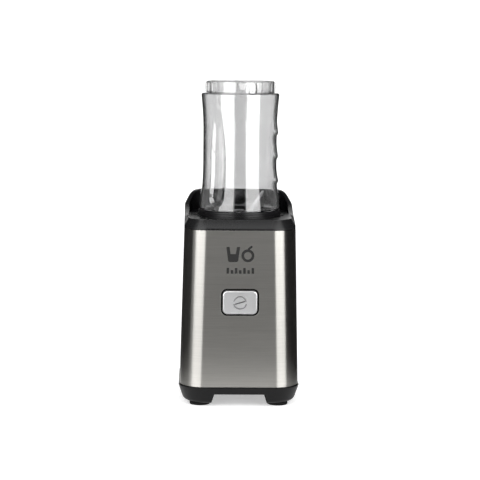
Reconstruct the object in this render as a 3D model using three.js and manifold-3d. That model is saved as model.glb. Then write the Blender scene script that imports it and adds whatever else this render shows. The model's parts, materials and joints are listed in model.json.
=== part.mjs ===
// Personal countertop blender, in millimetres, +Z up. The origin is the centre of the footprint on the table,
// +X is the user's right and the push button is on the -Y face.
import * as THREE from "three";
import { mergeVertices } from "three/addons/utils/BufferGeometryUtils.js";
import Module from "manifold-3d";

const wasm = await Module();
wasm.setup();

// Gaps
const seatGap = 0.3; // between pieces that rest on each other
const runGap = 0.25; // radial, between a turning piece and what it turns in
const slideGap = 0.4; // beside a sliding piece

// Base housing, legs and feet
const baseHalf = 61;
const cornerRadius = 25;
const legBottom = 3.2;
const skirtBottom = 13.2;
const baseRim = 20.4;
const baseEdgeRadius = 6;
const baseWall = 2;
const baseFloor = 3;
const baseDraft = 0.31; // inward per millimetre of height, below the rim
const rimLand = 1.2;
const legInnerTop = 25;
const legInnerBottom = 28;
const footRadius = 10.3;
const footInset = 21.5; // from the base's side to the foot's centre
const footPlug = 7;
const upstandHeight = 6;
const ventCount = 7;
const ventWidth = 3;
const ventPitch = 8;
const ventCircle = 31;

// Steel sleeve
const sleeveHeight = 157.9;
const sleeveWall = 0.8;
const sleeveInset = 0.85; // the base's rim stands this much proud of the steel
const sleeveDraft = 0.02483;

// Collar
const bandHeight = 10.5;
const bandLand = 2.4; // upright part of the band, below its slope
const collarWall = 4.5;
const hoodRise = 21.8; // above the deck
const deckThickness = 3;
const columnRadius = 4.5;
const columnBore = 2.3;

// Cup socket, in the collar
const holderRadius = 42.3;
const wellGap = 0.7;
const wellWall = 2.4;
const wellDepth = 28.7; // deck to floor
const wellFloor = 3;
const wellLedgeDepth = 23.5; // deck to the ledge that carries the holder
const wellNarrowing = 7;
const lugCount = 3;
const lugReach = 2.6;
const lugWidth = 10;
const lugHeight = 6;
const socketLip = 1.0;

// Blade holder and bottle
const holderAboveDeck = 5.8;
const holderWall = 5.6;
const holderFloor = 3;
const holderThreadDepth = 16.5;
const gasketHeight = 2;
const hubRadius = 12;
const hubDepth = 5.2; // below the holder's floor
const hubRise = 5.5; // above the holder's floor
const neckWall = 2.2;
const neckGap = 1.2;
const bottleWall = 2.4;
const bottleHeight = 130.7; // holder to the foot ring's end
const mouthStep = 1; // the bottle's mouth is this much narrower than its holder
const bottleMouthRadius = holderRadius - mouthStep;
const bottleWaistRadius = 37.7;
const bottleHeelRadius = 39.9;
const footRingHeight = 12;
const footRingStep = 5.2;
const footRingRadius = bottleHeelRadius - footRingStep;
const footRingWall = 3.2;
const footNotchCount = 3;
const footNotchWidth = 8;
const firstNotchAngle = -70;
const fluteRadius = 7;
const fluteDepth = 1.2;
const fluteAngle = -128;

// Blades
const bladeShaftRadius = 3;
const bushRadius = 6;
const bladeClearance = 5.1; // from the blade's tip to the inside of the bottle's neck
const bladeWidth = 11;
const bladeThickness = 1.6;
const bladeRise = 24;
const bladeBend = 11; // from the axis to where the arms turn up
const nutRadius = 6;
const dogRadius = 7.6;
const dogToothReach = 10;
const dogToothWidth = 3.2;
const dogTeeth = 6;
const dogHeight = 4.3;
const couplingRadius = 13;
const couplingHeight = 8.5;

// Motor
const motorShaftRadius = 4;
const armatureRadius = 18.2;
const airGap = 0.5;
const stackHeight = 22;
const stackDepth = 22.5; // socket floor's underside to the top of the stack
const statorRadius = 31.5;
const yokeWidth = 4;
const coilOverhang = 7;
const slotCount = 12;
const bracketThickness = 2.2;
const boltCircle = statorRadius + 2.5;
const mountCircle = statorRadius + 1.5;
const mountAngles = [30, 150, 270];
const bossDepth = 6.5;
const pegRadius = 1.75;
const commutatorRadius = 12;
const commutatorHeight = 14;
const fanRadius = 30;
const fanBlades = 9;
const fanHeight = 10;
const ductWall = 2;

// Button
const buttonWidth = 34.2;
const buttonHeight = 23.2;
const buttonCorner = 4.5;
const buttonProud = 2.5;
const buttonTravel = 2.5;
const buttonBelowBand = 71.8; // the sleeve's top to the button's centre
const openingMargin = 1.3;

// Interlock
const interlockTravel = 3;
const pinRadius = 1.7;

// Heights that follow
const sleeveBottom = baseRim + seatGap;
const sleeveTop = sleeveBottom + sleeveHeight;
const collarBottom = sleeveTop + seatGap;
const deckZ = sleeveTop + bandHeight;
const hoodTop = deckZ + hoodRise;
const wellRadius = holderRadius + wellGap;
const wellFloorTop = deckZ - wellDepth;
const wellUnder = wellFloorTop - wellFloor;
const ledgeZ = deckZ - wellLedgeDepth;
const holderTop = deckZ + holderAboveDeck;
const holderBottom = ledgeZ + seatGap;
const holderFloorTop = holderTop - holderThreadDepth;
const holderFloorUnder = holderFloorTop - holderFloor;
const hubBottom = holderFloorUnder - hubDepth;
const hubTop = holderFloorTop + hubRise;
const holderInner = holderRadius - holderWall;
const neckRadius = holderInner - neckGap;
const bladeReach = neckRadius - neckWall - bladeClearance;
const neckBottom = holderFloorTop + gasketHeight + 2 * seatGap;
const bottleBottom = holderTop + seatGap;
const bottleTop = bottleBottom + bottleHeight;
const heelZ = bottleTop - footRingHeight;
const footCentre = baseHalf - footInset;
const floorTop = skirtBottom + baseFloor;
const stackTop = wellUnder - stackDepth;
const stackBottom = stackTop - stackHeight;
const buttonZ = sleeveTop - buttonBelowBand;

// A closed solid from a closed mesh.
function solid(geometry) {
  const bare = geometry.index ? geometry.toNonIndexed() : geometry.clone();
  bare.deleteAttribute("normal");
  bare.deleteAttribute("uv");
  const merged = mergeVertices(bare, 1e-4);
  return new wasm.Manifold(
    new wasm.Mesh({
      numProp: 3,
      vertProperties: merged.attributes.position.array,
      triVerts: new Uint32Array(merged.index.array),
    }),
  );
}

function geometryOf(body) {
  const mesh = body.getMesh();
  return new THREE.BufferGeometry()
    .setAttribute("position", new THREE.BufferAttribute(mesh.vertProperties, 3))
    .setIndex(new THREE.BufferAttribute(mesh.triVerts, 1));
}

const join = (...bodies) => bodies.reduce((all, body) => all.add(body));
const cut = (body, ...tools) => tools.reduce((rest, tool) => rest.subtract(tool), body);
const repeat = (count, make) => Array.from({ length: count }, (_, i) => make(i));
const turned = (body, degrees) => body.rotate([0, 0, degrees]);

function cylinder(radius, low, high, x = 0, y = 0, segments = 16) {
  const geometry = new THREE.CylinderGeometry(radius, radius, high - low, segments);
  geometry.rotateX(Math.PI / 2);
  geometry.translate(x, y, (low + high) / 2);
  return solid(geometry);
}

const tubeRing = (outer, inner, low, high, x = 0, y = 0, segments = 16) =>
  cut(cylinder(outer, low, high, x, y, segments), cylinder(inner, low - 1, high + 1, x, y, segments));

function box(x0, x1, y0, y1, z0, z1) {
  const geometry = new THREE.BoxGeometry(x1 - x0, y1 - y0, z1 - z0);
  geometry.translate((x0 + x1) / 2, (y0 + y1) / 2, (z0 + z1) / 2);
  return solid(geometry);
}

// A cylinder along +Y, for what goes through the front or the back.
function crossCylinder(radius, y0, y1, z, segments = 16) {
  const geometry = new THREE.CylinderGeometry(radius, radius, y1 - y0, segments);
  geometry.translate(0, (y0 + y1) / 2, z);
  return solid(geometry);
}

// A profile of [radius, height] points turned about Z: up the outside, then back down the axis or the inside.
function turn(profile, segments = 36) {
  const geometry = new THREE.LatheGeometry(
    profile.concat([profile[0]]).map(([r, z]) => new THREE.Vector2(r, z)),
    segments,
  );
  geometry.rotateX(Math.PI / 2);
  return solid(geometry);
}

// A rectangle with rounded corners, counter-clockwise.
function roundedRectangle(halfX, halfY, radius, steps = 4) {
  const centres = [
    [1, 1],
    [-1, 1],
    [-1, -1],
    [1, -1],
  ];
  return centres.flatMap(([sx, sy], corner) =>
    repeat(steps + 1, (i) => {
      const angle = ((corner + i / steps) * Math.PI) / 2;
      return new THREE.Vector2(
        sx * (halfX - radius) + radius * Math.cos(angle),
        sy * (halfY - radius) + radius * Math.sin(angle),
      );
    }),
  );
}

// Side walls between outlines of equal count, closed by flat ends. A level is {z, points}.
function loft(levels) {
  const count = levels[0].points.length;
  const positions = levels.flatMap(({ z, points }) => points.flatMap((p) => [p.x, p.y, z]));
  const index = [];
  for (let level = 0; level < levels.length - 1; level++)
    for (let i = 0; i < count; i++) {
      const a = level * count + i;
      const b = level * count + ((i + 1) % count);
      index.push(a, b, a + count, b, b + count, a + count);
    }
  const last = (levels.length - 1) * count;
  for (const [a, b, c] of THREE.ShapeUtils.triangulateShape(levels[0].points, []))
    index.push(a, c, b);
  for (const [a, b, c] of THREE.ShapeUtils.triangulateShape(levels.at(-1).points, []))
    index.push(last + a, last + b, last + c);
  const geometry = new THREE.BufferGeometry();
  geometry.setAttribute("position", new THREE.Float32BufferAttribute(positions, 3));
  geometry.setIndex(index);
  return solid(geometry);
}

const prism = (points, low, high) =>
  loft([
    { z: low, points },
    { z: high, points },
  ]);

// The same, standing across the front: outline in X and Z, from y0 to y1.
function frontPrism(points, z, y0, y1) {
  return prism(points, -y1, -y0).rotate([90, 0, 0]).translate([0, 0, z]);
}

// A tube along a smooth curve through the given points.
function wire(points, radius, steps, sides = 6) {
  const section = new THREE.Shape(
    repeat(sides, (i) => {
      const angle = (2 * Math.PI * i) / sides;
      return new THREE.Vector2(radius * Math.cos(angle), radius * Math.sin(angle));
    }),
  );
  const path = new THREE.CatmullRomCurve3(points.map((p) => new THREE.Vector3(...p)));
  return solid(new THREE.ExtrudeGeometry(section, { extrudePath: path, steps }));
}

// A coil spring along Z.
function spring(radius, wireRadius, low, high, turns) {
  const stepsPerTurn = 8;
  const count = turns * stepsPerTurn;
  const points = repeat(count + 1, (i) => {
    const angle = (2 * Math.PI * i) / stepsPerTurn;
    const z = low + wireRadius + ((high - low - 2 * wireRadius) * i) / count;
    return [radius * Math.cos(angle), radius * Math.sin(angle), z];
  });
  return wire(points, wireRadius, count, 4);
}

// Outlines of the body at a height
const sleeveHalf = (z) => baseHalf - sleeveInset - sleeveDraft * (z - sleeveBottom);
const sleeveOutline = (z, inset) =>
  roundedRectangle(sleeveHalf(z) - inset, sleeveHalf(z) - inset, cornerRadius - inset);

const baseInset = (z) => {
  const side = baseDraft * Math.max(0, baseRim - rimLand - z);
  const arcTop = legBottom + baseEdgeRadius;
  if (z >= arcTop) return side;
  const drop = arcTop - z;
  return side + baseEdgeRadius - Math.sqrt(Math.max(0, baseEdgeRadius ** 2 - drop ** 2));
};
const baseOutline = (z, extra = 0) => {
  const inset = baseInset(z) + extra;
  return roundedRectangle(baseHalf - inset, baseHalf - inset, Math.max(3, cornerRadius - inset));
};

const corners = [
  ["front_left", -1, -1],
  ["front_right", 1, -1],
  ["rear_right", 1, 1],
  ["rear_left", -1, 1],
];

function baseHousing() {
  const edge = [0, 0.7, 2.5, baseEdgeRadius].map((rise) => legBottom + rise);
  const levels = [...edge, baseRim - rimLand, baseRim];
  let body = loft(levels.map((z) => ({ z, points: baseOutline(z) })));
  const groove = [
    [-legInnerBottom, edge[0] - 1],
    [legInnerBottom, edge[0] - 1],
    [legInnerTop, skirtBottom],
    [-legInnerTop, skirtBottom],
  ].map(([x, z]) => new THREE.Vector2(x, z));
  const channel = frontPrism(groove, 0, -2 * baseHalf, 2 * baseHalf);
  body = cut(body, channel, turned(channel, 90));
  const upstand = cut(
    loft([
      { z: baseRim - 1, points: sleeveOutline(sleeveBottom, sleeveWall + slideGap) },
      { z: baseRim + upstandHeight, points: sleeveOutline(baseRim + upstandHeight, sleeveWall + slideGap) },
    ]),
    prism(sleeveOutline(baseRim, sleeveWall + slideGap + baseWall), baseRim - 2, baseRim + upstandHeight + 1),
  );
  const hollow = prism(sleeveOutline(baseRim, sleeveWall + slideGap + baseWall), floorTop, baseRim + 1);
  body = cut(body, hollow);
  body = join(body, upstand);
  for (const [, sx, sy] of corners) {
    const [x, y] = [sx * footCentre, sy * footCentre];
    body = join(body, cylinder(columnRadius + 1, floorTop - 1, baseRim + 3.6, x, y, 12));
  }
  for (const [, sx, sy] of corners) {
    const [x, y] = [sx * footCentre, sy * footCentre];
    body = cut(
      body,
      cylinder(footPlug + seatGap, 0, legBottom + 2.9, x, y),
      cylinder(4.2, 0, legBottom + 6.6, x, y, 10),
      cylinder(columnBore, 0, baseRim + 5, x, y, 10),
    );
  }
  const slots = repeat(ventCount, (i) => {
    const x = (i - (ventCount - 1) / 2) * ventPitch;
    const half = Math.sqrt(ventCircle ** 2 - x ** 2);
    return box(x - ventWidth / 2, x + ventWidth / 2, -half, half, skirtBottom - 1, floorTop + 1);
  });
  return cut(body, ...slots);
}

const foot = (sx, sy) =>
  join(
    cylinder(footRadius, 0, legBottom - seatGap, sx * footCentre, sy * footCentre, 20),
    cylinder(footPlug, legBottom - 1, legBottom + 2.6, sx * footCentre, sy * footCentre),
  );

const baseScrew = (sx, sy) =>
  join(
    cylinder(3.8, legBottom + 3, legBottom + 6.2, sx * footCentre, sy * footCentre, 10),
    cylinder(columnBore - 0.35, legBottom + 5, baseRim + 20, sx * footCentre, sy * footCentre, 10),
  );

function steelSleeve() {
  const shell = cut(
    loft([sleeveBottom, sleeveTop].map((z) => ({ z, points: sleeveOutline(z, 0) }))),
    loft([sleeveBottom - 1, sleeveTop + 1].map((z) => ({ z, points: sleeveOutline(z, sleeveWall) }))),
  );
  const opening = roundedRectangle(
    buttonWidth / 2 + openingMargin,
    buttonHeight / 2 + openingMargin,
    buttonCorner + openingMargin,
    4,
  );
  const glandHole = crossCylinder(glandNeck + seatGap, 0, 2 * baseHalf, glandZ);
  return cut(shell, frontPrism(opening, buttonZ, -2 * baseHalf, 0), glandHole);
}

// The hood's rim, seen from the side: low in front, swept up to the back wall.
function rimCurve() {
  const half = sleeveHalf(deckZ);
  const low = collarBottom + bandLand;
  const path = new THREE.CurvePath();
  const knee = new THREE.Vector2(half - 13, deckZ + 0.6 * hoodRise);
  path.add(
    new THREE.CubicBezierCurve(
      new THREE.Vector2(cornerRadius - half, low),
      new THREE.Vector2(0, low + 5),
      new THREE.Vector2(half - 22, deckZ + 0.18 * hoodRise),
      knee,
    ),
  );
  path.add(
    new THREE.CubicBezierCurve(
      knee,
      new THREE.Vector2(half - 8, deckZ + 0.84 * hoodRise),
      new THREE.Vector2(half - 5, hoodTop),
      new THREE.Vector2(half, hoodTop),
    ),
  );
  return path.getPoints(16);
}

function rimHeight(curve, y) {
  if (y <= curve[0].x) return curve[0].y;
  const next = curve.findIndex((p) => p.x >= y);
  if (next < 1) return curve.at(-1).y;
  const [a, b] = [curve[next - 1], curve[next]];
  return a.y + ((b.y - a.y) * (y - a.x)) / (b.x - a.x);
}

// The wall that runs all round the collar: a band that leans in at the front and a tall hood at the back.
function collarRing() {
  const curve = rimCurve();
  const half = sleeveHalf(collarBottom);
  const dense = (inset) => {
    const points = roundedRectangle(half - inset, half - inset, cornerRadius - inset, 5);
    return points.flatMap((p, i) => {
      const q = points[(i + 1) % points.length];
      const cuts = p.distanceTo(q) > cornerRadius ? 5 : 1;
      return repeat(cuts, (k) => p.clone().lerp(q, k / cuts));
    });
  };
  const outer = dense(0);
  const inner = dense(collarWall);
  const count = outer.length;
  const positions = [];
  for (let i = 0; i < count; i++) {
    const outerTop = rimHeight(curve, outer[i].y);
    const innerTop = Math.max(deckZ, outerTop);
    positions.push(outer[i].x, outer[i].y, collarBottom);
    positions.push(outer[i].x, outer[i].y, outerTop);
    positions.push(inner[i].x, inner[i].y, innerTop);
    positions.push(inner[i].x, inner[i].y, collarBottom);
  }
  const index = [];
  for (let i = 0; i < count; i++)
    for (let k = 0; k < 4; k++) {
      const a = i * 4 + k;
      const b = i * 4 + ((k + 1) % 4);
      const c = ((i + 1) % count) * 4 + k;
      const d = ((i + 1) % count) * 4 + ((k + 1) % 4);
      index.push(a, c, b, b, c, d);
    }
  const geometry = new THREE.BufferGeometry();
  geometry.setAttribute("position", new THREE.Float32BufferAttribute(positions, 3));
  geometry.setIndex(index);
  return solid(geometry);
}

const lugAngle = (i) => 90 + (i * 360) / lugCount;
const lugBox = (outer, width, low, high, i) =>
  turned(box(holderRadius - 8, outer, -width / 2, width / 2, low, high), lugAngle(i));

function collar() {
  const half = sleeveHalf(collarBottom) - collarWall + 0.5;
  const narrow = wellRadius - wellNarrowing;
  const keyReach = holderRadius + lugReach + slideGap;
  let body = join(
    collarRing(),
    prism(roundedRectangle(half, half, cornerRadius - collarWall, 4), deckZ - deckThickness, deckZ),
    cylinder(wellRadius + wellWall, ledgeZ - wellWall, deckZ + socketLip, 0, 0, 36),
    cylinder(narrow + wellWall, wellUnder, ledgeZ, 0, 0, 36),
    ...repeat(lugCount, (i) => lugBox(keyReach + wellWall, lugWidth + 6, ledgeZ - wellWall, deckZ - 1, i)),
    ...corners.map(([, sx, sy]) =>
      cylinder(columnRadius, baseRim + 3.9, deckZ - 1, sx * footCentre, sy * footCentre, 10),
    ),
    ...mountAngles.map((angle) => turned(motorPeg(), angle)),
  );
  body = cut(
    body,
    cylinder(wellRadius, ledgeZ, hoodTop, 0, 0, 36),
    cylinder(narrow, wellFloorTop, hoodTop, 0, 0, 36),
    ...repeat(lugCount, (i) => lugBox(keyReach, lugWidth + 4, ledgeZ, hoodTop, i)),
    cylinder(sealRadius + seatGap, wellUnder - 1, wellFloorTop + 1),
    ...corners.map(([, sx, sy]) =>
      cylinder(columnBore, 0, baseRim + 24, sx * footCentre, sy * footCentre, 10),
    ),
    cylinder(pinRadius + slideGap, ledgeZ - 10, ledgeZ + 1, 0, pinY, 12),
  );
  return body;
}

// Pieces round the drive shaft
const sealRadius = 7;
const pinY = wellRadius + 0.6;
const glandZ = baseRim + upstandHeight + 9;
const glandNeck = 6;
const couplingBottom = wellFloorTop + 1;
const couplingFloor = couplingBottom + 3.7;
const dogBottom = couplingFloor + 0.4;
const shaftTop = couplingBottom + 2.6;
const plateZ = stackTop + coilOverhang + 1.5; // underside of the upper bracket's plate
const commutatorTop = stackBottom - coilOverhang - 3;
const lowerPlateZ = commutatorTop - commutatorHeight - 9; // top of the lower bracket's plate
const fanZ = lowerPlateZ - 26;

const toothBox = (reach, width, low, high, i) =>
  turned(box(0, reach, -width / 2, width / 2, low, high), (i * 360) / dogTeeth);

function driveCoupling() {
  return cut(
    cylinder(couplingRadius, couplingBottom, couplingBottom + couplingHeight, 0, 0, 30),
    cylinder(dogRadius + slideGap, couplingFloor, couplingBottom + 20, 0, 0, 20),
    ...repeat(dogTeeth, (i) =>
      toothBox(dogToothReach + slideGap, dogToothWidth + 2 * slideGap, couplingFloor, couplingBottom + 20, i),
    ),
    cylinder(motorShaftRadius + seatGap, 0, shaftTop + seatGap, 0, 0, 16),
  );
}

function driveDog() {
  const top = dogBottom + dogHeight;
  return cut(
    join(
      cylinder(dogRadius, dogBottom, top, 0, 0, 20),
      ...repeat(dogTeeth, (i) => toothBox(dogToothReach, dogToothWidth, dogBottom, top, i)),
    ),
    cylinder(bladeShaftRadius + seatGap, dogBottom + 1.5, top + 20, 0, 0, 16),
  );
}

function bladeHolder() {
  const inner = holderInner;
  const skirt = holderRadius - 2.4;
  const profile = [
    [bushRadius + seatGap, hubBottom],
    [hubRadius, hubBottom],
    [hubRadius, holderFloorUnder],
    [skirt, holderFloorUnder],
    [skirt, holderBottom],
    [holderRadius, holderBottom],
    [holderRadius, holderTop - 0.8],
    [holderRadius - 0.8, holderTop],
    [inner, holderTop],
    [inner, holderFloorTop],
    [hubRadius + 1, holderFloorTop],
    [hubRadius - 2.5, hubTop],
    [bushRadius + seatGap, hubTop],
  ];
  const lugs = repeat(lugCount, (i) =>
    cut(
      lugBox(holderRadius + lugReach, lugWidth, holderBottom, holderBottom + lugHeight, i),
      cylinder(holderRadius - 1, 0, hoodTop, 0, 0, 36),
    ),
  );
  return join(turn(profile, 36), ...lugs);
}

// Radius of the bottle's outside at each height above its shoulder over the holder
function bottleOutline() {
  const rise = heelZ - bottleBottom;
  return [
    [bottleMouthRadius, bottleBottom],
    [bottleMouthRadius - 0.2, bottleBottom + 0.04 * rise],
    [bottleWaistRadius + 2.4, bottleBottom + 0.12 * rise],
    [bottleWaistRadius + 0.8, bottleBottom + 0.2 * rise],
    [bottleWaistRadius, bottleBottom + 0.35 * rise],
    [bottleWaistRadius, bottleBottom + 0.72 * rise],
    [bottleWaistRadius + 0.8, bottleBottom + 0.85 * rise],
    [bottleHeelRadius, heelZ - 2.4],
    [bottleHeelRadius - 0.7, heelZ - 0.7],
    [bottleHeelRadius - 2.4, heelZ],
  ];
}

function outlineRadius(outline, z) {
  const next = outline.findIndex((point) => point[1] > z);
  const [a, b] = [outline[next - 1], outline[next]];
  return a[0] + ((b[0] - a[0]) * (z - a[1])) / (b[1] - a[1]);
}

function bottle() {
  const outline = bottleOutline();
  const ringInner = footRingRadius - footRingWall;
  const neckInner = neckRadius - neckWall;
  const inside = outline
    .slice(1, -2)
    .reverse()
    .map(([r, z]) => [r - bottleWall, Math.min(z, heelZ - bottleWall - 3)]);
  const profile = [
    [neckRadius, neckBottom],
    [neckRadius, bottleBottom],
    ...outline,
    [footRingRadius, heelZ],
    [footRingRadius, bottleTop - 0.8],
    [footRingRadius - 0.8, bottleTop],
    [ringInner, bottleTop],
    [ringInner, heelZ + 0.4],
    [0, heelZ + 0.4],
    [0, heelZ - bottleWall],
    [bottleHeelRadius - bottleWall - 3, heelZ - bottleWall],
    ...inside,
    [neckInner, bottleBottom + 2],
    [neckInner, neckBottom],
  ];
  const side = footNotchWidth / 2;
  const notches = repeat(footNotchCount, (i) =>
    turned(
      box(ringInner - 2, footRingRadius + 2, -side, side, heelZ + 0.6, bottleTop - 2),
      firstNotchAngle + (i * 360) / footNotchCount,
    ),
  );
  const rise = heelZ - bottleBottom;
  const lift = [3, -fluteDepth, -fluteDepth, -fluteDepth, -fluteDepth, 1.5];
  const fluteSpan = [0.03, 0.12, 0.35, 0.55, 0.72, 0.87];
  const path = fluteSpan.map((share, i) => {
    const z = bottleBottom + share * rise;
    return [outlineRadius(outline, z) + fluteRadius + lift[i], 0, z];
  });
  const flute = turned(wire(path, fluteRadius, 10, 10), fluteAngle);
  return cut(turn(profile, 36), ...notches, flute);
}

const gasket = () =>
  tubeRing(
    holderInner - 0.6,
    neckRadius - neckWall - 1.5,
    holderFloorTop + seatGap,
    holderFloorTop + seatGap + gasketHeight,
    0,
    0,
    40,
  );

const bladeStackZ = hubTop + 2;
const bladeGapZ = 0.5;
const nutBottom = bladeStackZ + 2 * bladeThickness + 2 * bladeGapZ;

// A flat middle with two arms bent up by rise, or down when rise is negative.
function blade(z, rise, angle) {
  const slope = Math.atan2(rise, bladeReach - bladeBend);
  const outline = [
    [-bladeBend, 0],
    [bladeBend, 0],
    [bladeReach, rise],
    [bladeReach - bladeThickness * Math.sin(slope), rise + bladeThickness * Math.cos(slope)],
    [bladeBend - bladeThickness * Math.tan(slope / 2), bladeThickness],
    [-bladeBend, bladeThickness],
  ].map(([x, h]) => new THREE.Vector2(x, h));
  const arm = (side) => turned(frontPrism(outline, z, -bladeWidth / 2, bladeWidth / 2), side * 180);
  const disc = cylinder(bladeWidth / 2 + 1.5, z, z + bladeThickness, 0, 0, 20);
  const taper = prism(
    [
      [-bladeReach, 1.2],
      [-bladeReach * 0.35, -bladeWidth / 2],
      [bladeReach * 0.35, -bladeWidth / 2],
      [bladeReach, -1.2],
      [bladeReach, 1.2],
      [bladeReach * 0.35, bladeWidth / 2],
      [-bladeReach * 0.35, bladeWidth / 2],
    ].map(([x, y]) => new THREE.Vector2(x, y)),
    z - 60,
    z + 60,
  );
  const whole = join(disc, arm(0).intersect(taper), arm(1).intersect(taper));
  return turned(
    cut(whole, cylinder(bladeShaftRadius + seatGap, z - 5, z + 5, 0, 0, 16)),
    angle,
  );
}

function bladeNut() {
  const top = nutBottom + 4.6;
  const dome = turn(
    [
      [0, nutBottom],
      [nutRadius, nutBottom],
      [nutRadius, nutBottom + 2.6],
      [nutRadius - 2, nutBottom + 4.2],
      [0, top],
    ],
    12,
  );
  return cut(dome, cylinder(bladeShaftRadius + seatGap, nutBottom - 1, nutBottom + 2.8));
}

// Motor
function statorCore() {
  const yoke = tubeRing(statorRadius, statorRadius - yokeWidth, stackBottom, stackTop, 0, 0, 24);
  const bore = armatureRadius + airGap;
  const shoe = tubeRing(bore + 3, bore, stackBottom, stackTop, 0, 0, 24);
  const sides = join(
    box(0, 60, -bore * 0.75, bore * 0.75, 0, hoodTop),
    box(-60, 0, -bore * 0.75, bore * 0.75, 0, hoodTop),
  );
  const neck = (side) => box(Math.min(side * (bore + 1.5), side * (statorRadius - 1.5)),
    Math.max(side * (bore + 1.5), side * (statorRadius - 1.5)), -7, 7, stackBottom, stackTop);
  return join(yoke, shoe.intersect(sides), neck(1), neck(-1));
}

function fieldCoil(side) {
  const inner = armatureRadius + airGap + 3 + seatGap;
  const outer = statorRadius - yokeWidth - seatGap;
  const ring = tubeRing(outer, inner, stackBottom - coilOverhang, stackTop + coilOverhang, 0, 0, 24);
  const window = box(0, 60, -13.4, 13.4, 0, hoodTop);
  const neck = box(0, 60, -7.4, 7.4, stackBottom - seatGap, stackTop + seatGap);
  return turned(cut(ring.intersect(window), neck), side > 0 ? 0 : 180);
}

const armatureSlot = (inner, outer, width, low, high, i) =>
  turned(box(inner, outer, -width / 2, width / 2, low, high), (i * 360) / slotCount);

const armatureCore = () =>
  cut(
    cylinder(armatureRadius, stackBottom + 1, stackTop - 1, 0, 0, 24),
    cylinder(motorShaftRadius + seatGap, 0, hoodTop),
    ...repeat(slotCount, (i) => armatureSlot(11, 30, 3, 0, hoodTop, i)),
  );

function armatureWinding() {
  const low = stackBottom + 1 - seatGap;
  const high = stackTop - 1 + seatGap;
  const overhang = coilOverhang - 2;
  return join(
    tubeRing(16.8, 8, high, high + overhang, 0, 0, 24),
    tubeRing(16.8, 8, low - overhang, low, 0, 0, 24),
    ...repeat(slotCount, (i) => armatureSlot(11.4, 16.4, 2.4, low - 1, high + 1, i)),
  );
}

const commutator = () =>
  cut(
    join(
      cylinder(commutatorRadius, commutatorTop - commutatorHeight, commutatorTop - 2, 0, 0, 20),
      cylinder(commutatorRadius + 1.4, commutatorTop - 2, commutatorTop, 0, 0, 20),
    ),
    cylinder(motorShaftRadius + seatGap, 0, hoodTop),
    ...repeat(slotCount, (i) => armatureSlot(commutatorRadius - 0.8, 30, 0.8, 0, hoodTop, i)),
  );

function fan() {
  const hub = cylinder(8, fanZ, fanZ + fanHeight + 1.5, 0, 0, 20);
  const disc = cylinder(fanRadius, fanZ, fanZ + 1.5, 0, 0, 24);
  const vanes = repeat(fanBlades, (i) =>
    turned(box(6, fanRadius - 0.5, -0.7, 0.7, fanZ, fanZ + fanHeight), (i * 360) / fanBlades),
  );
  return cut(join(hub, disc, ...vanes), cylinder(motorShaftRadius + seatGap, 0, hoodTop));
}

const bearing = (outer, low, high) =>
  tubeRing(outer, motorShaftRadius + runGap, low, high, 0, 0, 20);

const boltAngles = [60, 240];
const postAngles = [60, 120, 240, 300];

function upperBracket() {
  const top = plateZ + bracketThickness;
  return cut(
    join(
      cylinder(boltCircle + 5.5, plateZ, top, 0, 0, 24),
      cylinder(12, plateZ, top + 6.5, 0, 0, 20),
      ...postAngles.map((angle) =>
        turned(cylinder(4, stackTop + seatGap, plateZ + 1, boltCircle, 0, 8), angle),
      ),
    ),
    cylinder(9 + seatGap, plateZ + 1, hoodTop, 0, 0, 20),
    box(-baseHalf, baseHalf, pinY - 4, baseHalf, plateZ - 1, top + 1),
    cylinder(motorShaftRadius + 1, 0, hoodTop),
    ...boltAngles.map((angle) => turned(cylinder(2.1, 0, hoodTop, boltCircle, 0, 8), angle)),
    ...mountAngles.map((angle) => turned(cylinder(4.8, 0, hoodTop, mountCircle, 0, 12), angle)),
    ...repeat(4, (i) => turned(cylinder(5, plateZ - 1, top + 1, 22.5, 0, 8), i * 90)),
  );
}

function lowerBracket() {
  const low = lowerPlateZ - 3;
  const spider = join(
    box(-boltCircle - 4, boltCircle + 4, -6, 6, low, lowerPlateZ),
    turned(box(-boltCircle - 4, boltCircle + 4, -6, 6, low, lowerPlateZ), 60),
  );
  return cut(
    join(
      turned(spider, 60),
      box(-brushStart - 14, brushStart + 14, -6, 6, low, lowerPlateZ),
      cylinder(11, low - 5, lowerPlateZ + 3, 0, 0, 20),
      ...postAngles.map((angle) =>
        turned(cylinder(4, low + 1, stackBottom - seatGap, boltCircle, 0, 8), angle),
      ),
    ),
    cylinder(8 + seatGap, low - 6, lowerPlateZ + 1.5, 0, 0, 20),
    cylinder(motorShaftRadius + 1, 0, hoodTop),
    ...boltAngles.map((angle) => turned(cylinder(2.1, 0, hoodTop, boltCircle, 0, 8), angle)),
  );
}

const motorBolt = (angle) =>
  turned(
    join(
      cylinder(3.4, lowerPlateZ - 6.2, lowerPlateZ - 3.3, boltCircle, 0, 8),
      cylinder(1.75, lowerPlateZ - 4, plateZ + bracketThickness + 2, boltCircle, 0, 8),
    ),
    angle,
  );

// A boss under the socket's floor, with a peg through a rubber mount and a head staked over its end.
const motorPeg = () =>
  join(
    cylinder(4.5, wellUnder - bossDepth, wellUnder + 1, mountCircle, 0, 14),
    cylinder(pegRadius, plateZ - 3.5, wellUnder, mountCircle, 0, 12),
    cylinder(3.4, plateZ - 4.7, plateZ - 2.5, mountCircle, 0, 12),
  );

const motorMount = (angle) => {
  const top = plateZ + bracketThickness;
  const bottom = plateZ - 2.5 + seatGap;
  const spool = join(
    cylinder(5.4, bottom, plateZ - seatGap, mountCircle, 0, 12),
    cylinder(4.4, bottom, top + 1, mountCircle, 0, 12),
    cylinder(5.4, top + seatGap, wellUnder - bossDepth - seatGap, mountCircle, 0, 12),
  );
  return turned(cut(spool, cylinder(pegRadius + seatGap, 0, hoodTop, mountCircle, 0, 12)), angle);
};

const brushZ = commutatorTop - 8;
const brushStart = commutatorRadius + 0.3;

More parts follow.
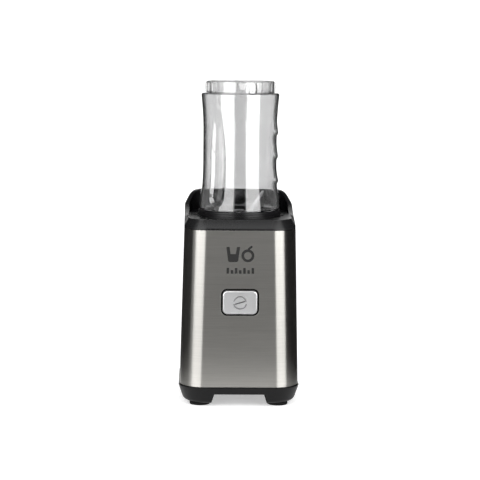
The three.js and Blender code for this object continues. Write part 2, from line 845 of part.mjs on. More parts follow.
const brushLength = 11;
const brush = (side) => {
  const block = box(brushStart, brushStart + brushLength, -2.6, 2.6, brushZ - 3.4, brushZ + 3.4);
  return turned(block, side > 0 ? 0 : 180);
};

// A tube for the brush, standing on the lower bracket.
function brushHolder(side) {
  const near = brushStart + 2.5;
  const far = brushStart + 14;
  const shell = cut(
    box(near, far, -4, 4, brushZ - 4.8, brushZ + 4.8),
    box(near - 1, far - 1.2, -2.9, 2.9, brushZ - 3.7, brushZ + 3.7),
  );
  const stem = box(near + 3, far - 2, -4, 4, lowerPlateZ + seatGap, brushZ - 4);
  return turned(join(shell, stem), side > 0 ? 0 : 180);
}

// A tube round the fan, which sends its air out through the slots underneath.
const airDuct = () =>
  tubeRing(fanRadius + 3 + ductWall, fanRadius + 3, floorTop + seatGap, fanZ + fanHeight + 4, 0, 0, 24);

// Button and its switch. Depths are distances in front of the axis.
const panelFace = sleeveHalf(buttonZ);
const buttonFront = panelFace + buttonProud;
const guideFront = sleeveHalf(buttonZ + buttonHeight / 2 + 8) - sleeveWall - slideGap;
const guideLip = 2;
const flangeFront = guideFront - guideLip - seatGap;
const flangeThickness = 2;
const guideBackFront = flangeFront - flangeThickness - 6.2;
const guideBackThickness = 2.4;
const stemRadius = 4;
const stemEnd = guideBackFront - guideBackThickness - 1.2;
const switchNub = stemEnd - buttonTravel - seatGap;
const flangeMargin = 2.1;

function powerButton() {
  const face = (inset) =>
    roundedRectangle(buttonWidth / 2 - inset, buttonHeight / 2 - inset, buttonCorner - inset, 4);
  const cap = join(
    frontPrism(face(0), buttonZ, -buttonFront + 0.8, -flangeFront + 0.5),
    loft([
      { z: buttonFront - 0.9, points: face(0) },
      { z: buttonFront - 0.3, points: face(0.3) },
      { z: buttonFront, points: face(0.9) },
    ])
      .rotate([90, 0, 0])
      .translate([0, 0, buttonZ]),
  );
  const flange = roundedRectangle(
    buttonWidth / 2 + flangeMargin,
    buttonHeight / 2 + flangeMargin,
    buttonCorner,
    3,
  );
  return join(
    cap,
    frontPrism(flange, buttonZ, -flangeFront, -flangeFront + flangeThickness),
    crossCylinder(stemRadius, -flangeFront + 1, -stemEnd, buttonZ, 16),
  );
}

function buttonGuide() {
  const frame = roundedRectangle(buttonWidth / 2 + 5.2, buttonHeight / 2 + 5.2, 5, 3);
  const pocket = roundedRectangle(
    buttonWidth / 2 + flangeMargin + slideGap,
    buttonHeight / 2 + flangeMargin + slideGap,
    buttonCorner,
    3,
  );
  const aperture = roundedRectangle(
    buttonWidth / 2 + slideGap,
    buttonHeight / 2 + slideGap,
    buttonCorner + slideGap,
    4,
  );
  const back = guideBackFront - guideBackThickness;
  const armBack = footCentre + columnRadius + seatGap;
  const arms = box(-footCentre - 3, footCentre + 3, -armBack - 2.4, -armBack, buttonZ - 6, buttonZ + 6);
  const inner = roundedRectangle(buttonWidth / 2, buttonHeight / 2, 3, 3);
  return cut(
    join(
      frontPrism(frame, buttonZ, -guideFront, -back),
      cut(arms, frontPrism(inner, buttonZ, -2 * baseHalf, 0)),
    ),
    frontPrism(pocket, buttonZ, -guideFront + guideLip, -guideBackFront),
    frontPrism(aperture, buttonZ, -guideFront - 1, -guideFront + guideLip + 1),
    crossCylinder(stemRadius + slideGap, -guideBackFront - 1, 0, buttonZ, 16),
  );
}

const buttonSpring = () =>
  spring(6, 0.5, 0, flangeFront - flangeThickness - guideBackFront - 2 * seatGap, 3)
    .rotate([90, 0, 0])
    .translate([0, -guideBackFront - seatGap, buttonZ]);

function powerSwitch() {
  const front = switchNub - 0.7;
  return join(
    box(-12.4, 12.4, -front, -front + 10, buttonZ - 11, buttonZ + 4.5),
    crossCylinder(1.6, -switchNub, -front + 1, buttonZ, 10),
  );
}

// Interlock under the rear lug
const pinTop = ledgeZ;
const pinFlangeTop = ledgeZ - wellWall - seatGap;
const pinBottom = pinFlangeTop - 13;
const interlockNub = pinBottom - interlockTravel - seatGap;
const interlockPlate = pinFlangeTop - 8;

const interlockPin = () =>
  join(
    cylinder(pinRadius, pinBottom, pinTop, 0, pinY, 12),
    cylinder(3.4, pinFlangeTop - 1, pinFlangeTop, 0, pinY, 12),
  );

const interlockSpring = () =>
  spring(2.7, 0.4, interlockPlate + seatGap, pinFlangeTop - 1 - seatGap, 4).translate([0, pinY, 0]);

function interlockBracket() {
  const low = interlockNub - 12;
  const side = (x) => box(Math.min(x, x + Math.sign(x) * 2), Math.max(x, x + Math.sign(x) * 2),
    pinY - 3.6, pinY + 3.6, low, pinFlangeTop);
  return cut(
    join(
      box(-12, 12, pinY - 3.6, pinY + 3.6, interlockPlate - 2, interlockPlate),
      side(10.6),
      side(-10.6),
    ),
    cylinder(pinRadius + slideGap, 0, hoodTop, 0, pinY, 12),
  );
}

const interlockSwitch = () =>
  join(
    box(-10, 10, pinY - 3.2, pinY + 3.2, interlockNub - 11.4, interlockNub - 0.8),
    cylinder(1.2, interlockNub - 1, interlockNub, 0, pinY, 10),
  );

// Electrics on the left side of the motor
const boardX = -(sleeveHalf(baseRim + 50) - sleeveWall - 6);
const boardLow = floorTop + seatGap;
const boardHigh = boardLow + 44;

function controlBoard() {
  const parts = [
    box(boardX + 1, boardX + 7, -15, -7, boardHigh - 14, boardHigh - 6),
    box(boardX + 1, boardX + 5, 0, 9, boardHigh - 12, boardHigh - 4),
    box(boardX + 1, boardX + 8, 4, 14, boardLow + 6, boardLow + 15),
  ];
  return join(box(boardX, boardX + 1.6, -19, 19, boardLow, boardHigh), ...parts);
}

const capacitor = () =>
  box(boardX + 1.6 + seatGap, boardX + 9, -14, 0.5, boardLow + 8, boardLow + 22);

function cordGland() {
  const outside = sleeveHalf(glandZ - 9);
  const inside = sleeveHalf(glandZ + 9) - sleeveWall;
  return cut(
    join(
      crossCylinder(8.2, outside + seatGap, baseHalf - 0.1, glandZ),
      crossCylinder(glandNeck, inside - 2, outside + 1, glandZ),
      crossCylinder(8.2, inside - 3.4, inside - seatGap, glandZ),
    ),
    crossCylinder(3.7, 0, 2 * baseHalf, glandZ, 16),
  );
}

const mainsLead = () =>
  wire(
    [
      [0, sleeveHalf(glandZ) - sleeveWall - 5, glandZ],
      [-2, 48, glandZ + 1],
      [-16, 44, glandZ + 4],
      [-32, 34, glandZ + 9],
      [boardX + 6, 16, boardHigh - 2],
    ],
    1.6,
    14,
  );

const switchLead = () =>
  wire(
    [
      [boardX + 6, -11, boardHigh + 1],
      [boardX + 10, -16, boardHigh + 12],
      [-38, -24, buttonZ - 18],
      [-0.5 * boltCircle - 7, -0.87 * boltCircle - 8, buttonZ - 20],
      [-6, -(switchNub - 3), buttonZ - 12.9],
    ],
    1.2,
    14,
  );

const motorLead = () =>
  wire(
    [
      [boardX + 4, 4, boardHigh + 1],
      [boardX + 6, 5, boardHigh + 12],
      [-40, 3, brushZ - 6],
      [-(brushStart + 15.6), 0, brushZ],
    ],
    1.2,
    12,
  );

// Materials
const finish = (color, roughness, metalness, extra = {}) =>
  new THREE.MeshStandardMaterial({ color, roughness, metalness, ...extra });
const steel = finish(0x9b9994, 0.35, 1);
const gloss = finish(0x17171a, 0.18, 0);
const satin = finish(0x222225, 0.5, 0);
const silver = finish(0xc4c4c6, 0.35, 0.7);
const clear = finish(0xe8ecee, 0.05, 0, { transparent: true, opacity: 0.35 });
const rubber = finish(0x161616, 0.85, 0);
const silicone = finish(0xc9c9c6, 0.6, 0);
const bladeSteel = finish(0xb8b8b8, 0.25, 1);
const laminations = finish(0x5b5d60, 0.5, 0.8);
const copper = finish(0xa65a2c, 0.4, 0.8);
const bronze = finish(0x9a7440, 0.4, 0.9);
const zinc = finish(0xa9acb0, 0.4, 0.9);
const carbon = finish(0x2b2b2d, 0.7, 0.1);
const nylon = finish(0xd9d5c8, 0.6, 0);
const board = finish(0x2f6b3c, 0.6, 0);
const film = finish(0xc99a2c, 0.5, 0);
const leadWhite = finish(0xd8d8d4, 0.5, 0);

const blender = new THREE.Group();
function put(name, body, material) {
  const mesh = new THREE.Mesh(geometryOf(body), material);
  mesh.name = name;
  blender.add(mesh);
}

put("base_housing", baseHousing(), satin);
for (const [place, sx, sy] of corners) {
  put("foot_" + place, foot(sx, sy), rubber);
  put("base_screw_" + place, baseScrew(sx, sy), zinc);
}
put("steel_sleeve", steelSleeve(), steel);
put("collar", collar(), gloss);
put("shaft_seal", tubeRing(sealRadius, motorShaftRadius + runGap, wellUnder, wellFloorTop + 0.5), rubber);
put("cord_gland", cordGland(), rubber);
put("air_duct", airDuct(), satin);

put("power_button", powerButton(), silver);
put("button_guide", buttonGuide(), satin);
put("button_spring", buttonSpring(), zinc);
put("power_switch", powerSwitch(), satin);

put("interlock_pin", interlockPin(), satin);
put("interlock_spring", interlockSpring(), zinc);
put("interlock_bracket", interlockBracket(), zinc);
put("interlock_switch", interlockSwitch(), satin);

put("stator_core", statorCore(), laminations);
put("field_coil_left", fieldCoil(-1), copper);
put("field_coil_right", fieldCoil(1), copper);
put("upper_bracket", upperBracket(), zinc);
put("lower_bracket", lowerBracket(), nylon);
put("upper_bearing", bearing(9, plateZ + 1 + seatGap, plateZ + bracketThickness + 5.5), zinc);
put("lower_bearing", bearing(8, lowerPlateZ - 7, lowerPlateZ + 1), bronze);
boltAngles.forEach((angle, i) => put("motor_bolt_" + (i + 1), motorBolt(angle), zinc));
mountAngles.forEach((angle, i) => put("motor_mount_" + (i + 1), motorMount(angle), rubber));
put("brush_left", brush(-1), carbon);
put("brush_right", brush(1), carbon);
put("brush_holder_left", brushHolder(-1), bronze);
put("brush_holder_right", brushHolder(1), bronze);

put("motor_shaft", cylinder(motorShaftRadius, fanZ - 3, shaftTop, 0, 0, 16), zinc);
put("armature_core", armatureCore(), laminations);
put("armature_winding", armatureWinding(), copper);
put("commutator", commutator(), copper);
put("fan", fan(), nylon);
put("drive_coupling", driveCoupling(), satin);

put("control_board", controlBoard(), board);
put("suppression_capacitor", capacitor(), film);
put("mains_lead", mainsLead(), leadWhite);
put("switch_lead", switchLead(), leadWhite);
put("motor_lead", motorLead(), leadWhite);

put("blade_holder", bladeHolder(), gloss);
put("holder_gasket", gasket(), silicone);
put("blade_bush", tubeRing(bushRadius, bladeShaftRadius + runGap, hubBottom, hubTop - 1.8), bronze);
put("blade_seal", tubeRing(bushRadius, bladeShaftRadius + runGap, hubTop - 1.5, hubTop), silicone);
put("bottle", bottle(), clear);

put("blade_shaft", cylinder(bladeShaftRadius, dogBottom + 1.8, nutBottom + 2.5, 0, 0, 16), bladeSteel);
put("drive_dog", driveDog(), satin);
put("blade_spacer", tubeRing(5, bladeShaftRadius + seatGap, hubTop + 0.3, bladeStackZ - 0.3), bladeSteel);
put("lower_blade", blade(bladeStackZ, -4, 100), bladeSteel);
put("upper_blade", blade(bladeStackZ + bladeThickness + bladeGapZ, bladeRise, 25), bladeSteel);
put("blade_nut", bladeNut(), bladeSteel);

export default blender;
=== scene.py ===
# Personal blender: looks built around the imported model. Metres, +Z up, the push button faces -Y.
import json
import math

import bmesh
import bpy
from mathutils import Matrix, Vector


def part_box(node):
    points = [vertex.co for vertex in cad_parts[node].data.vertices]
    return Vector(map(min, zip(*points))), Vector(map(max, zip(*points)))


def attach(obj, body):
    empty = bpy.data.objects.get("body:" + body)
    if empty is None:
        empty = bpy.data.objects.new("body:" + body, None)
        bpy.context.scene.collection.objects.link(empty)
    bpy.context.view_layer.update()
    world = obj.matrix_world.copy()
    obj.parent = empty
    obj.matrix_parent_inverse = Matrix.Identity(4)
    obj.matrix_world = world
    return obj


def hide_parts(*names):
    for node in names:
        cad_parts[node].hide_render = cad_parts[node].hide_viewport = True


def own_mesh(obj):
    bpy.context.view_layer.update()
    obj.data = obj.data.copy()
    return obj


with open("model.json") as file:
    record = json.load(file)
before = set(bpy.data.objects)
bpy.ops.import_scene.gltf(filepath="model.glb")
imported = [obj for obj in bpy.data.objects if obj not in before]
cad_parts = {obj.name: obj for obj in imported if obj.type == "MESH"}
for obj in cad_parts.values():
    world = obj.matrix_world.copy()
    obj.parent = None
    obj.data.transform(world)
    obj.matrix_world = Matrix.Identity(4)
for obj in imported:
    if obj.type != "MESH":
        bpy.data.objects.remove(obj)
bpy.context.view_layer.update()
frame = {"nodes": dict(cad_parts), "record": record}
mm = 0.001
near = 1e-5  # metres: heights closer than this are the same
corners = [(-1, -1), (-1, 1), (1, -1), (1, 1)]

# helpers for modelling: sizes come in as millimetres


def deselectAll():
    if bpy.context.object and bpy.context.object.mode != "OBJECT":
        bpy.ops.object.mode_set(mode="OBJECT")
    bpy.ops.object.select_all(action="DESELECT")


def makeActive(piece):
    deselectAll()
    piece.select_set(True)
    bpy.context.view_layer.objects.active = piece


def selectAll():
    bpy.ops.mesh.select_all(action="SELECT")


def startEdit(piece):
    makeActive(piece)
    bpy.ops.object.mode_set(mode="EDIT")
    selectAll()


def endEdit():
    bpy.ops.object.mode_set(mode="OBJECT")


def pick(kind, test):
    # selects the vertices, edges or faces of the mesh in edit mode that pass the test
    bpy.ops.mesh.select_mode(type=kind)
    bpy.ops.mesh.select_all(action="DESELECT")
    mesh = bmesh.from_edit_mesh(bpy.context.object.data)
    mesh.normal_update()
    found = {"VERT": mesh.verts, "EDGE": mesh.edges, "FACE": mesh.faces}[kind]
    for item in found:
        if test(item):
            item.select_set(True)
    mesh.select_flush_mode()
    bmesh.update_edit_mesh(bpy.context.object.data)


def aboutZ(degrees):
    return Matrix.Rotation(math.radians(degrees), 4, "Z")


thirds = [aboutZ(90 + 120 * i) for i in range(3)]


def middle(edge):
    return (edge.verts[0].co + edge.verts[1].co) / 2


def isUpright(edge):
    a, b = edge.verts[0].co, edge.verts[1].co
    return abs(a.z - b.z) > 0.9 * (a - b).length


def facesUp(face):
    return face.normal.z > 0.9


def facesDown(face):
    return face.normal.z < -0.9


def nameNew(name):
    # names the primitive that was just added, and applies its place and size
    piece = bpy.context.object
    piece.name = name
    bpy.ops.object.transform_apply(location=True, rotation=True, scale=True)
    return piece


def addBlock(name, low, high):
    deselectAll()
    low, high = Vector(low) * mm, Vector(high) * mm
    bpy.ops.mesh.primitive_cube_add(size=1, location=(low + high) / 2, scale=high - low)
    return nameNew(name)


def addRod(name, radius, low, high, x=0, y=0, sides=48):
    deselectAll()
    bpy.ops.mesh.primitive_cylinder_add(
        vertices=sides,
        radius=radius * mm,
        depth=(high - low) * mm,
        location=(x * mm, y * mm, (low + high) / 2 * mm),
    )
    return nameNew(name)


def addRoundedBlock(name, halfX, halfY, low, high, radius, steps=8):
    # a block whose upright edges are rounded
    piece = addBlock(name, (-halfX, -halfY, low), (halfX, halfY, high))
    startEdit(piece)
    pick("EDGE", isUpright)
    bpy.ops.mesh.bevel(offset=radius * mm, segments=steps, profile=0.5)
    endEdit()
    return piece


def pullCornersIn(test, inward):
    # draws the corners that pass the test towards the middle, for a wall that leans
    for sx, sy in corners:
        pick("VERT", lambda v: test(v) and v.co.x * sx > 0 and v.co.y * sy > 0)
        bpy.ops.transform.translate(value=(-sx * inward, -sy * inward, 0))


def extrudeBy(step):
    bpy.ops.mesh.extrude_region_move(TRANSFORM_OT_translate={"value": step})


def applyModifier(piece, kind, name, settings):
    makeActive(piece)
    modifier = piece.modifiers.new(name, kind)
    for key, value in settings.items():
        setattr(modifier, key, value)
    bpy.ops.object.modifier_apply(modifier=name)


def combine(piece, tool, operation):
    settings = {"operation": operation, "object": tool, "solver": "EXACT"}
    applyModifier(piece, "BOOLEAN", "combine", settings)
    bpy.data.objects.remove(tool)


def cutAway(piece, *tools):
    for tool in tools:
        combine(piece, tool, "DIFFERENCE")


def weldOn(piece, *tools):
    for tool in tools:
        combine(piece, tool, "UNION")


def tidyMesh(piece, distance=0.002):
    startEdit(piece)
    bpy.ops.mesh.remove_doubles(threshold=distance * mm)
    bpy.ops.mesh.normals_make_consistent(inside=False)
    endEdit()


def softenEdges(piece, width, steps=2, angle=35):
    settings = {
        "width": width * mm,
        "segments": steps,
        "limit_method": "ANGLE",
        "angle_limit": math.radians(angle),
        "use_clamp_overlap": True,
        "harden_normals": False,
    }
    applyModifier(piece, "BEVEL", "soften", settings)


def giveWall(piece, thickness):
    settings = {"thickness": thickness * mm, "offset": -1, "use_even_offset": True}
    applyModifier(piece, "SOLIDIFY", "wall", settings)


def windUp(piece, degrees, rise, steps):
    # winds a small outline up about Z, into a thread or a coil
    settings = {
        "axis": "Z",
        "angle": math.radians(degrees),
        "screw_offset": rise * mm,
        "steps": steps,
        "render_steps": steps,
        "use_smooth_shade": True,
    }
    applyModifier(piece, "SCREW", "helix", settings)


def placeWithMatrix(piece, matrix):
    piece.data.transform(matrix)
    piece.data.update()


def crossMatrix(y, z):
    # turns a piece built along Z so that it stands along -Y at height z
    return Matrix.Translation((0, y * mm, z * mm)) @ Matrix.Rotation(math.radians(90), 4, "X")


def copyPiece(piece, name, matrix):
    twin = piece.copy()
    twin.data = piece.data.copy()
    twin.name = name
    bpy.context.collection.objects.link(twin)
    placeWithMatrix(twin, matrix)
    return twin


def spinProfile(name, profile, steps, closed):
    # a chain of [radius, height] points is extruded in the XZ plane, then spun about Z
    deselectAll()
    startX, startZ = profile[0]
    bpy.ops.mesh.primitive_plane_add(size=mm, location=(0, 0, 0))
    piece = nameNew(name)
    startEdit(piece)
    pick("VERT", lambda v: v.index > 0)
    bpy.ops.mesh.delete(type="VERT")
    selectAll()
    mesh = bmesh.from_edit_mesh(piece.data)
    mesh.verts.ensure_lookup_table()
    start = Vector((startX, 0, startZ)) * mm
    bpy.ops.transform.translate(value=start - mesh.verts[0].co)
    last = Vector((startX, 0, startZ))
    for x, z in profile[1:] + ([profile[0]] if closed else []):
        extrudeBy((Vector((x, 0, z)) - last) * mm)
        last = Vector((x, 0, z))
    selectAll()
    bpy.ops.mesh.spin(steps=steps, angle=2 * math.pi, center=(0, 0, 0), axis=(0, 0, 1))
    endEdit()
    tidyMesh(piece)
    return piece


def smoothChain(points, spacing):
    # a smooth line through [radius, height] points
    made = []
    for i in range(len(points) - 1):
        a, b = Vector(points[max(0, i - 1)]), Vector(points[i])
        c, d = Vector(points[i + 1]), Vector(points[min(len(points) - 1, i + 2)])
        count = max(1, round((c - b).length / spacing))
        for k in range(count):
            t = k / count
            point = 0.5 * (
                2 * b
                + (c - a) * t
                + (2 * a - 5 * b + 4 * c - d) * t * t
                + (3 * b - a - 3 * c + d) * t**3
            )
            made.append(tuple(point))
    return made + [tuple(points[-1])]


def finishPiece(piece, body, slotName, replaced=(), angle=32, material=None):
    makeActive(piece)
    bpy.ops.object.shade_smooth_by_angle(angle=math.radians(angle))
    # large flat faces keep their own direction, and only the rounded edges turn
    applyModifier(piece, "WEIGHTED_NORMAL", "flats", {"weight": 80, "keep_sharp": True})
    piece.data.materials.clear()
    piece.data.materials.append(material or finishes[slotName])
    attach(piece, body)
    if replaced:
        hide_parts(*replaced)


# helpers for materials


class NodeValue:
    # a number that flows between nodes: arithmetic on it adds Math nodes
    def __init__(self, paint, socket):
        self.paint, self.socket = paint, socket

    def __add__(self, other):
        return self.paint.calculate("ADD", self, other)

    def __radd__(self, other):
        return self.paint.calculate("ADD", other, self)

    def __mul__(self, other):
        return self.paint.calculate("MULTIPLY", self, other)

    def __rmul__(self, other):
        return self.paint.calculate("MULTIPLY", other, self)


class Paint:
    # one material, its shader and the nodes that feed it
    def __init__(self, name, color, roughness, metallic=0.0, **fixed):
        self.material = bpy.data.materials.new(name)
        self.material.use_nodes = True
        self.tree = self.material.node_tree
        self.shader = self.tree.nodes["Principled BSDF"]
        self.set("Base Color", (*color, 1))
        self.set("Roughness", roughness)
        self.set("Metallic", metallic)
        for key, value in fixed.items():
            self.set(key.replace("_", " "), value)

    def set(self, socketName, value):
        self.fill(self.shader.inputs[socketName], value)

    def fill(self, socket, value):
        if isinstance(value, NodeValue):
            self.tree.links.new(value.socket, socket)
        else:
            socket.default_value = value

    def node(self, kind, settings, inputs, output=0):
        made = self.tree.nodes.new(kind)
        for key, value in settings.items():
            if key == "stops":
                for i, (place, shade) in enumerate(value):
                    stops = made.color_ramp.elements
                    stop = stops[i] if i < 2 else stops.new(place)
                    stop.position, stop.color = place, (shade, shade, shade, 1)
            else:
                setattr(made, key, value)
        for key, value in inputs.items():
            self.fill(made.inputs[key], value)
        return NodeValue(self, made.outputs[output])

    def calculate(self, operation, first, second=0.0):
        return self.node("ShaderNodeMath", {"operation": operation}, {0: first, 1: second})

    def place(self):
        return self.node("ShaderNodeTexCoord", {}, {}, "Object")

    def stretched(self, scale):
        return self.node("ShaderNodeMapping", {}, {"Vector": self.place(), "Scale": scale})

    def noise(self, scale, detail=2.0, stretch=(1, 1, 1)):
        inputs = {"Vector": self.stretched(stretch), "Scale": scale, "Detail": detail, "Roughness": 0.55}
        return self.node("ShaderNodeTexNoise", {}, inputs, "Fac")

    def between(self, share, first, second):
        inputs = {0: share, 6: (*first, 1), 7: (*second, 1)}
        return self.node("ShaderNodeMix", {"data_type": "RGBA"}, inputs, 2)

    def limit(self, value, stops):
        return self.node("ShaderNodeValToRGB", {"stops": stops}, {"Fac": value}, "Color")

    def wanderGloss(self, roughness, *parts):
        # roughness swings evenly about its value: each part is a pattern from 0 to 1 and its share
        total = sum(share for pattern, share in parts)
        swing = parts[0][0] * parts[0][1]
        for pattern, share in parts[1:]:
            swing = swing + pattern * share
        self.set("Roughness", swing + (roughness - total / 2))

    def bump(self, height, strength, distance):
        inputs = {"Strength": strength, "Distance": distance * mm, "Height": height}
        self.set("Normal", self.node("ShaderNodeBump", {}, inputs))


def scaled(color, factor):
    return tuple(min(1.0, c * factor) for c in color)


# finishes


def moulded(name, color, roughness, grain=900.0, depth=0.05, **fixed):
    # moulded plastic or rubber: a fine grain, and gloss that wanders a little
    paint = Paint(name, color, roughness, **fixed)
    wander = paint.noise(28.0, 3.0)
    fine = paint.noise(grain, 2.0)
    paint.wanderGloss(roughness, (wander, 0.12), (fine, 0.06))
    paint.set("Base Color", paint.between(wander, scaled(color, 0.82), scaled(color, 1.15)))
    paint.bump(fine, depth, 0.2)
    return paint.material


def metal(name, color, roughness, stretch=(1, 1, 1), scale=600.0, depth=0.04, **fixed):
    # metal with fine marks drawn out along one way, and a dull cloud over them
    paint = Paint(name, color, roughness, 1.0, **fixed)
    marks = paint.noise(scale, 3.0, stretch)
    cloud = paint.noise(22.0, 2.0)
    paint.wanderGloss(roughness, (marks, 0.14), (cloud, 0.08))
    paint.set("Base Color", paint.between(marks * 0.7 + cloud * 0.3, scaled(color, 0.86), color))
    paint.bump(marks, depth, 0.1)
    return paint.material


brushing = {
    "color": (0.48, 0.47, 0.445),
    "roughness": 0.32,
    "anisotropy": 0.97,
    "turn": 0.25,  # a quarter turn, so that highlights spread up and down
    "coarseLines": 22.0,
    "fineLines": 93.5,
    "lineDraw": 40.0,  # how much finer they are in height than in width
    "contrast": 0.2,
}


def brushedSteel():
    b = brushing
    paint = Paint("brushedSteel", b["color"], b["roughness"], 1.0, Anisotropic=b["anisotropy"])
    paint.set("Anisotropic Rotation", b["turn"])
    around = paint.node("ShaderNodeTangent", {"direction_type": "RADIAL", "axis": "Z"}, {})
    paint.set("Tangent", around)
    stretch = (1, 1, b["lineDraw"])
    coarse = paint.noise(b["coarseLines"], 2.0, stretch)
    fine = paint.noise(b["fineLines"], 3.0, stretch)
    lines = coarse * 0.5 + fine * 0.5
    dim, bright = scaled(b["color"], 1 - b["contrast"]), scaled(b["color"], 1 + b["contrast"])
    paint.set("Base Color", paint.between(lines, dim, bright))
    paint.wanderGloss(b["roughness"], (lines, 0.12))
    paint.bump(fine, 0.03, 0.05)
    return paint.material


clearWall = {
    "color": (0.73, 0.73, 0.732),
    # near-black colour painted onto the wall at grazing slants, as painted shade
    "paintedEdgeShade": (0.005, 0.005, 0.005),
    "paintedShadeFrom": 0.53,  # slant of the wall where the painted edge shade starts, and where it is darkest
    "paintedShadeTo": 0.7,
    "roughness": 0.022,
    "bend": 1.52,
    "coatBend": 1.54,
    "waviness": 0.12,
}


def clearPlastic():
    c = clearWall
    paint = Paint("clearPlastic", c["color"], c["roughness"], IOR=c["bend"], Coat_IOR=c["coatBend"])
    paint.set("Transmission Weight", 1.0)
    paint.set("Specular IOR Level", 1.0)
    paint.set("Coat Weight", 1.0)
    paint.set("Coat Roughness", 0.02)
    # painted shade: the base colour turns near black where the wall is seen along its length, standing in
    # for dark surroundings refracted at the bottle's edges
    slant = paint.node("ShaderNodeLayerWeight", {}, {"Blend": 0.5}, "Facing")
    edge = paint.limit(slant, [(c["paintedShadeFrom"], 0.0), (c["paintedShadeTo"], 1.0)])
    paint.set("Base Color", paint.between(edge, c["color"], c["paintedEdgeShade"]))
    scuffs = paint.limit(paint.noise(420.0, 4.0), [(0.55, 0.0), (0.8, 1.0)])
    paint.wanderGloss(c["roughness"], (paint.noise(18.0), 0.02))
    drawn = paint.noise(75.0, 1.0, (1, 1, 0.1))
    paint.bump(drawn + scuffs * 0.02, c["waviness"], 1.2)
    return paint.material


def striped(name, first, second, pitch, roughness, metallic):
    # even stripes a pitch apart in height, for windings and stacked sheets
    paint = Paint(name, first, roughness, metallic)
    height = paint.node("ShaderNodeSeparateXYZ", {}, {"Vector": paint.place()}, 2)
    wave = paint.calculate("SINE", height * (2 * math.pi / (pitch * mm))) * 0.5 + 0.5
    cloud = paint.noise(60.0)
    paint.set("Base Color", paint.between(wave * 0.7 + cloud * 0.3, second, first))
    paint.wanderGloss(roughness, (cloud, 0.2))
    paint.bump(wave, 0.4, 0.15)
    return paint.material


glossColor, satinColor, rubberColor = (0.007, 0.007, 0.0075), (0.0065, 0.0065, 0.0067), (0.007, 0.007, 0.007)
finishes = {
    "clear_bottle": clearPlastic(),
    "gloss_black": moulded("glossBlack", glossColor, 0.28, 500.0, 0.02, Specular_IOR_Level=0.3),
    "satin_black": moulded("satinBlack", satinColor, 0.44, 1100.0, 0.25, Specular_IOR_Level=0.12),
    "brushed_steel": brushedSteel(),
    "silver_button": metal("satinSilver", (0.92, 0.92, 0.93), 0.42, scale=1500.0),
    "rubber_black": moulded("rubberBlack", rubberColor, 0.72, 1500.0, 0.3, Specular_IOR_Level=0.1),
    "silicone": moulded("silicone", (0.55, 0.55, 0.53), 0.5, 400.0, 0.05),
    "blade_steel": metal("bladeSteel", (0.44, 0.44, 0.45), 0.24, (1, 12, 1), 260.0),
    "laminations": striped("laminations", (0.17, 0.18, 0.19), (0.06, 0.06, 0.07), 0.6, 0.5, 0.6),
    "copper_wire": striped("copperWire", (0.62, 0.24, 0.10), (0.22, 0.07, 0.03), 0.9, 0.34, 1.0),
    "bronze": metal("bronze", (0.46, 0.31, 0.14), 0.42, scale=900.0, depth=0.15),
    "zinc_steel": metal("zincSteel", (0.55, 0.56, 0.58), 0.38, scale=240.0, depth=0.06),
    "carbon": moulded("carbon", (0.02, 0.02, 0.021), 0.55, 1600.0, 0.2),
    "nylon": moulded("nylon", (0.60, 0.57, 0.49), 0.5, 700.0, 0.15),
    "board_green": moulded("boardGreen", (0.02, 0.12, 0.05), 0.34, 300.0, 0.05),
    "film_yellow": moulded("filmYellow", (0.60, 0.34, 0.05), 0.32, 500.0, 0.05),
    "lead_white": moulded("leadWhite", (0.64, 0.64, 0.62), 0.42, 800.0, 0.05),
}
finishOf = {s["node"]: s["material_slot"] for s in frame["record"]["subparts"]}
for name, node in frame["nodes"].items():
    node.data.materials.clear()
    node.data.materials.append(finishes[finishOf[name]])
print("finishes made:", len(finishes))

# base housing: a low square tray on four legs

tray = {
    "half": 61.0,
    "corner": 25.0,
    "cornerSteps": 14,
    "bottom": 3.2,
    "rim": 20.4,
    "land": 1.2,
    "draft": 0.31,  # inwards for each mm of height below the rim's land
    "footEdge": 4.2,
    "skirt": 13.2,  # the underside between the legs
    "floor": 16.2,
    "legHalf": 25.0,  # half the gap between the legs at the skirt
    "legSpread": 1.16,  # how much wider the gap is at the table
    "innerHalf": 56.9,
    "innerCorner": 21.0,
    "upstandHalf": 58.8,
    "upstandCorner": 23.8,
    "footAt": 39.5,
    "postRadius": 5.5,
    "screwBore": 2.3,
    "screwSeat": 4.2,
    "footSeat": 7.3,
    "ventCount": 7,
    "ventPitch": 8.0,
    "ventHalf": 1.5,
    "ventRound": 31.0,  # the vents fill a round of this radius
    "soften": 0.45,
}


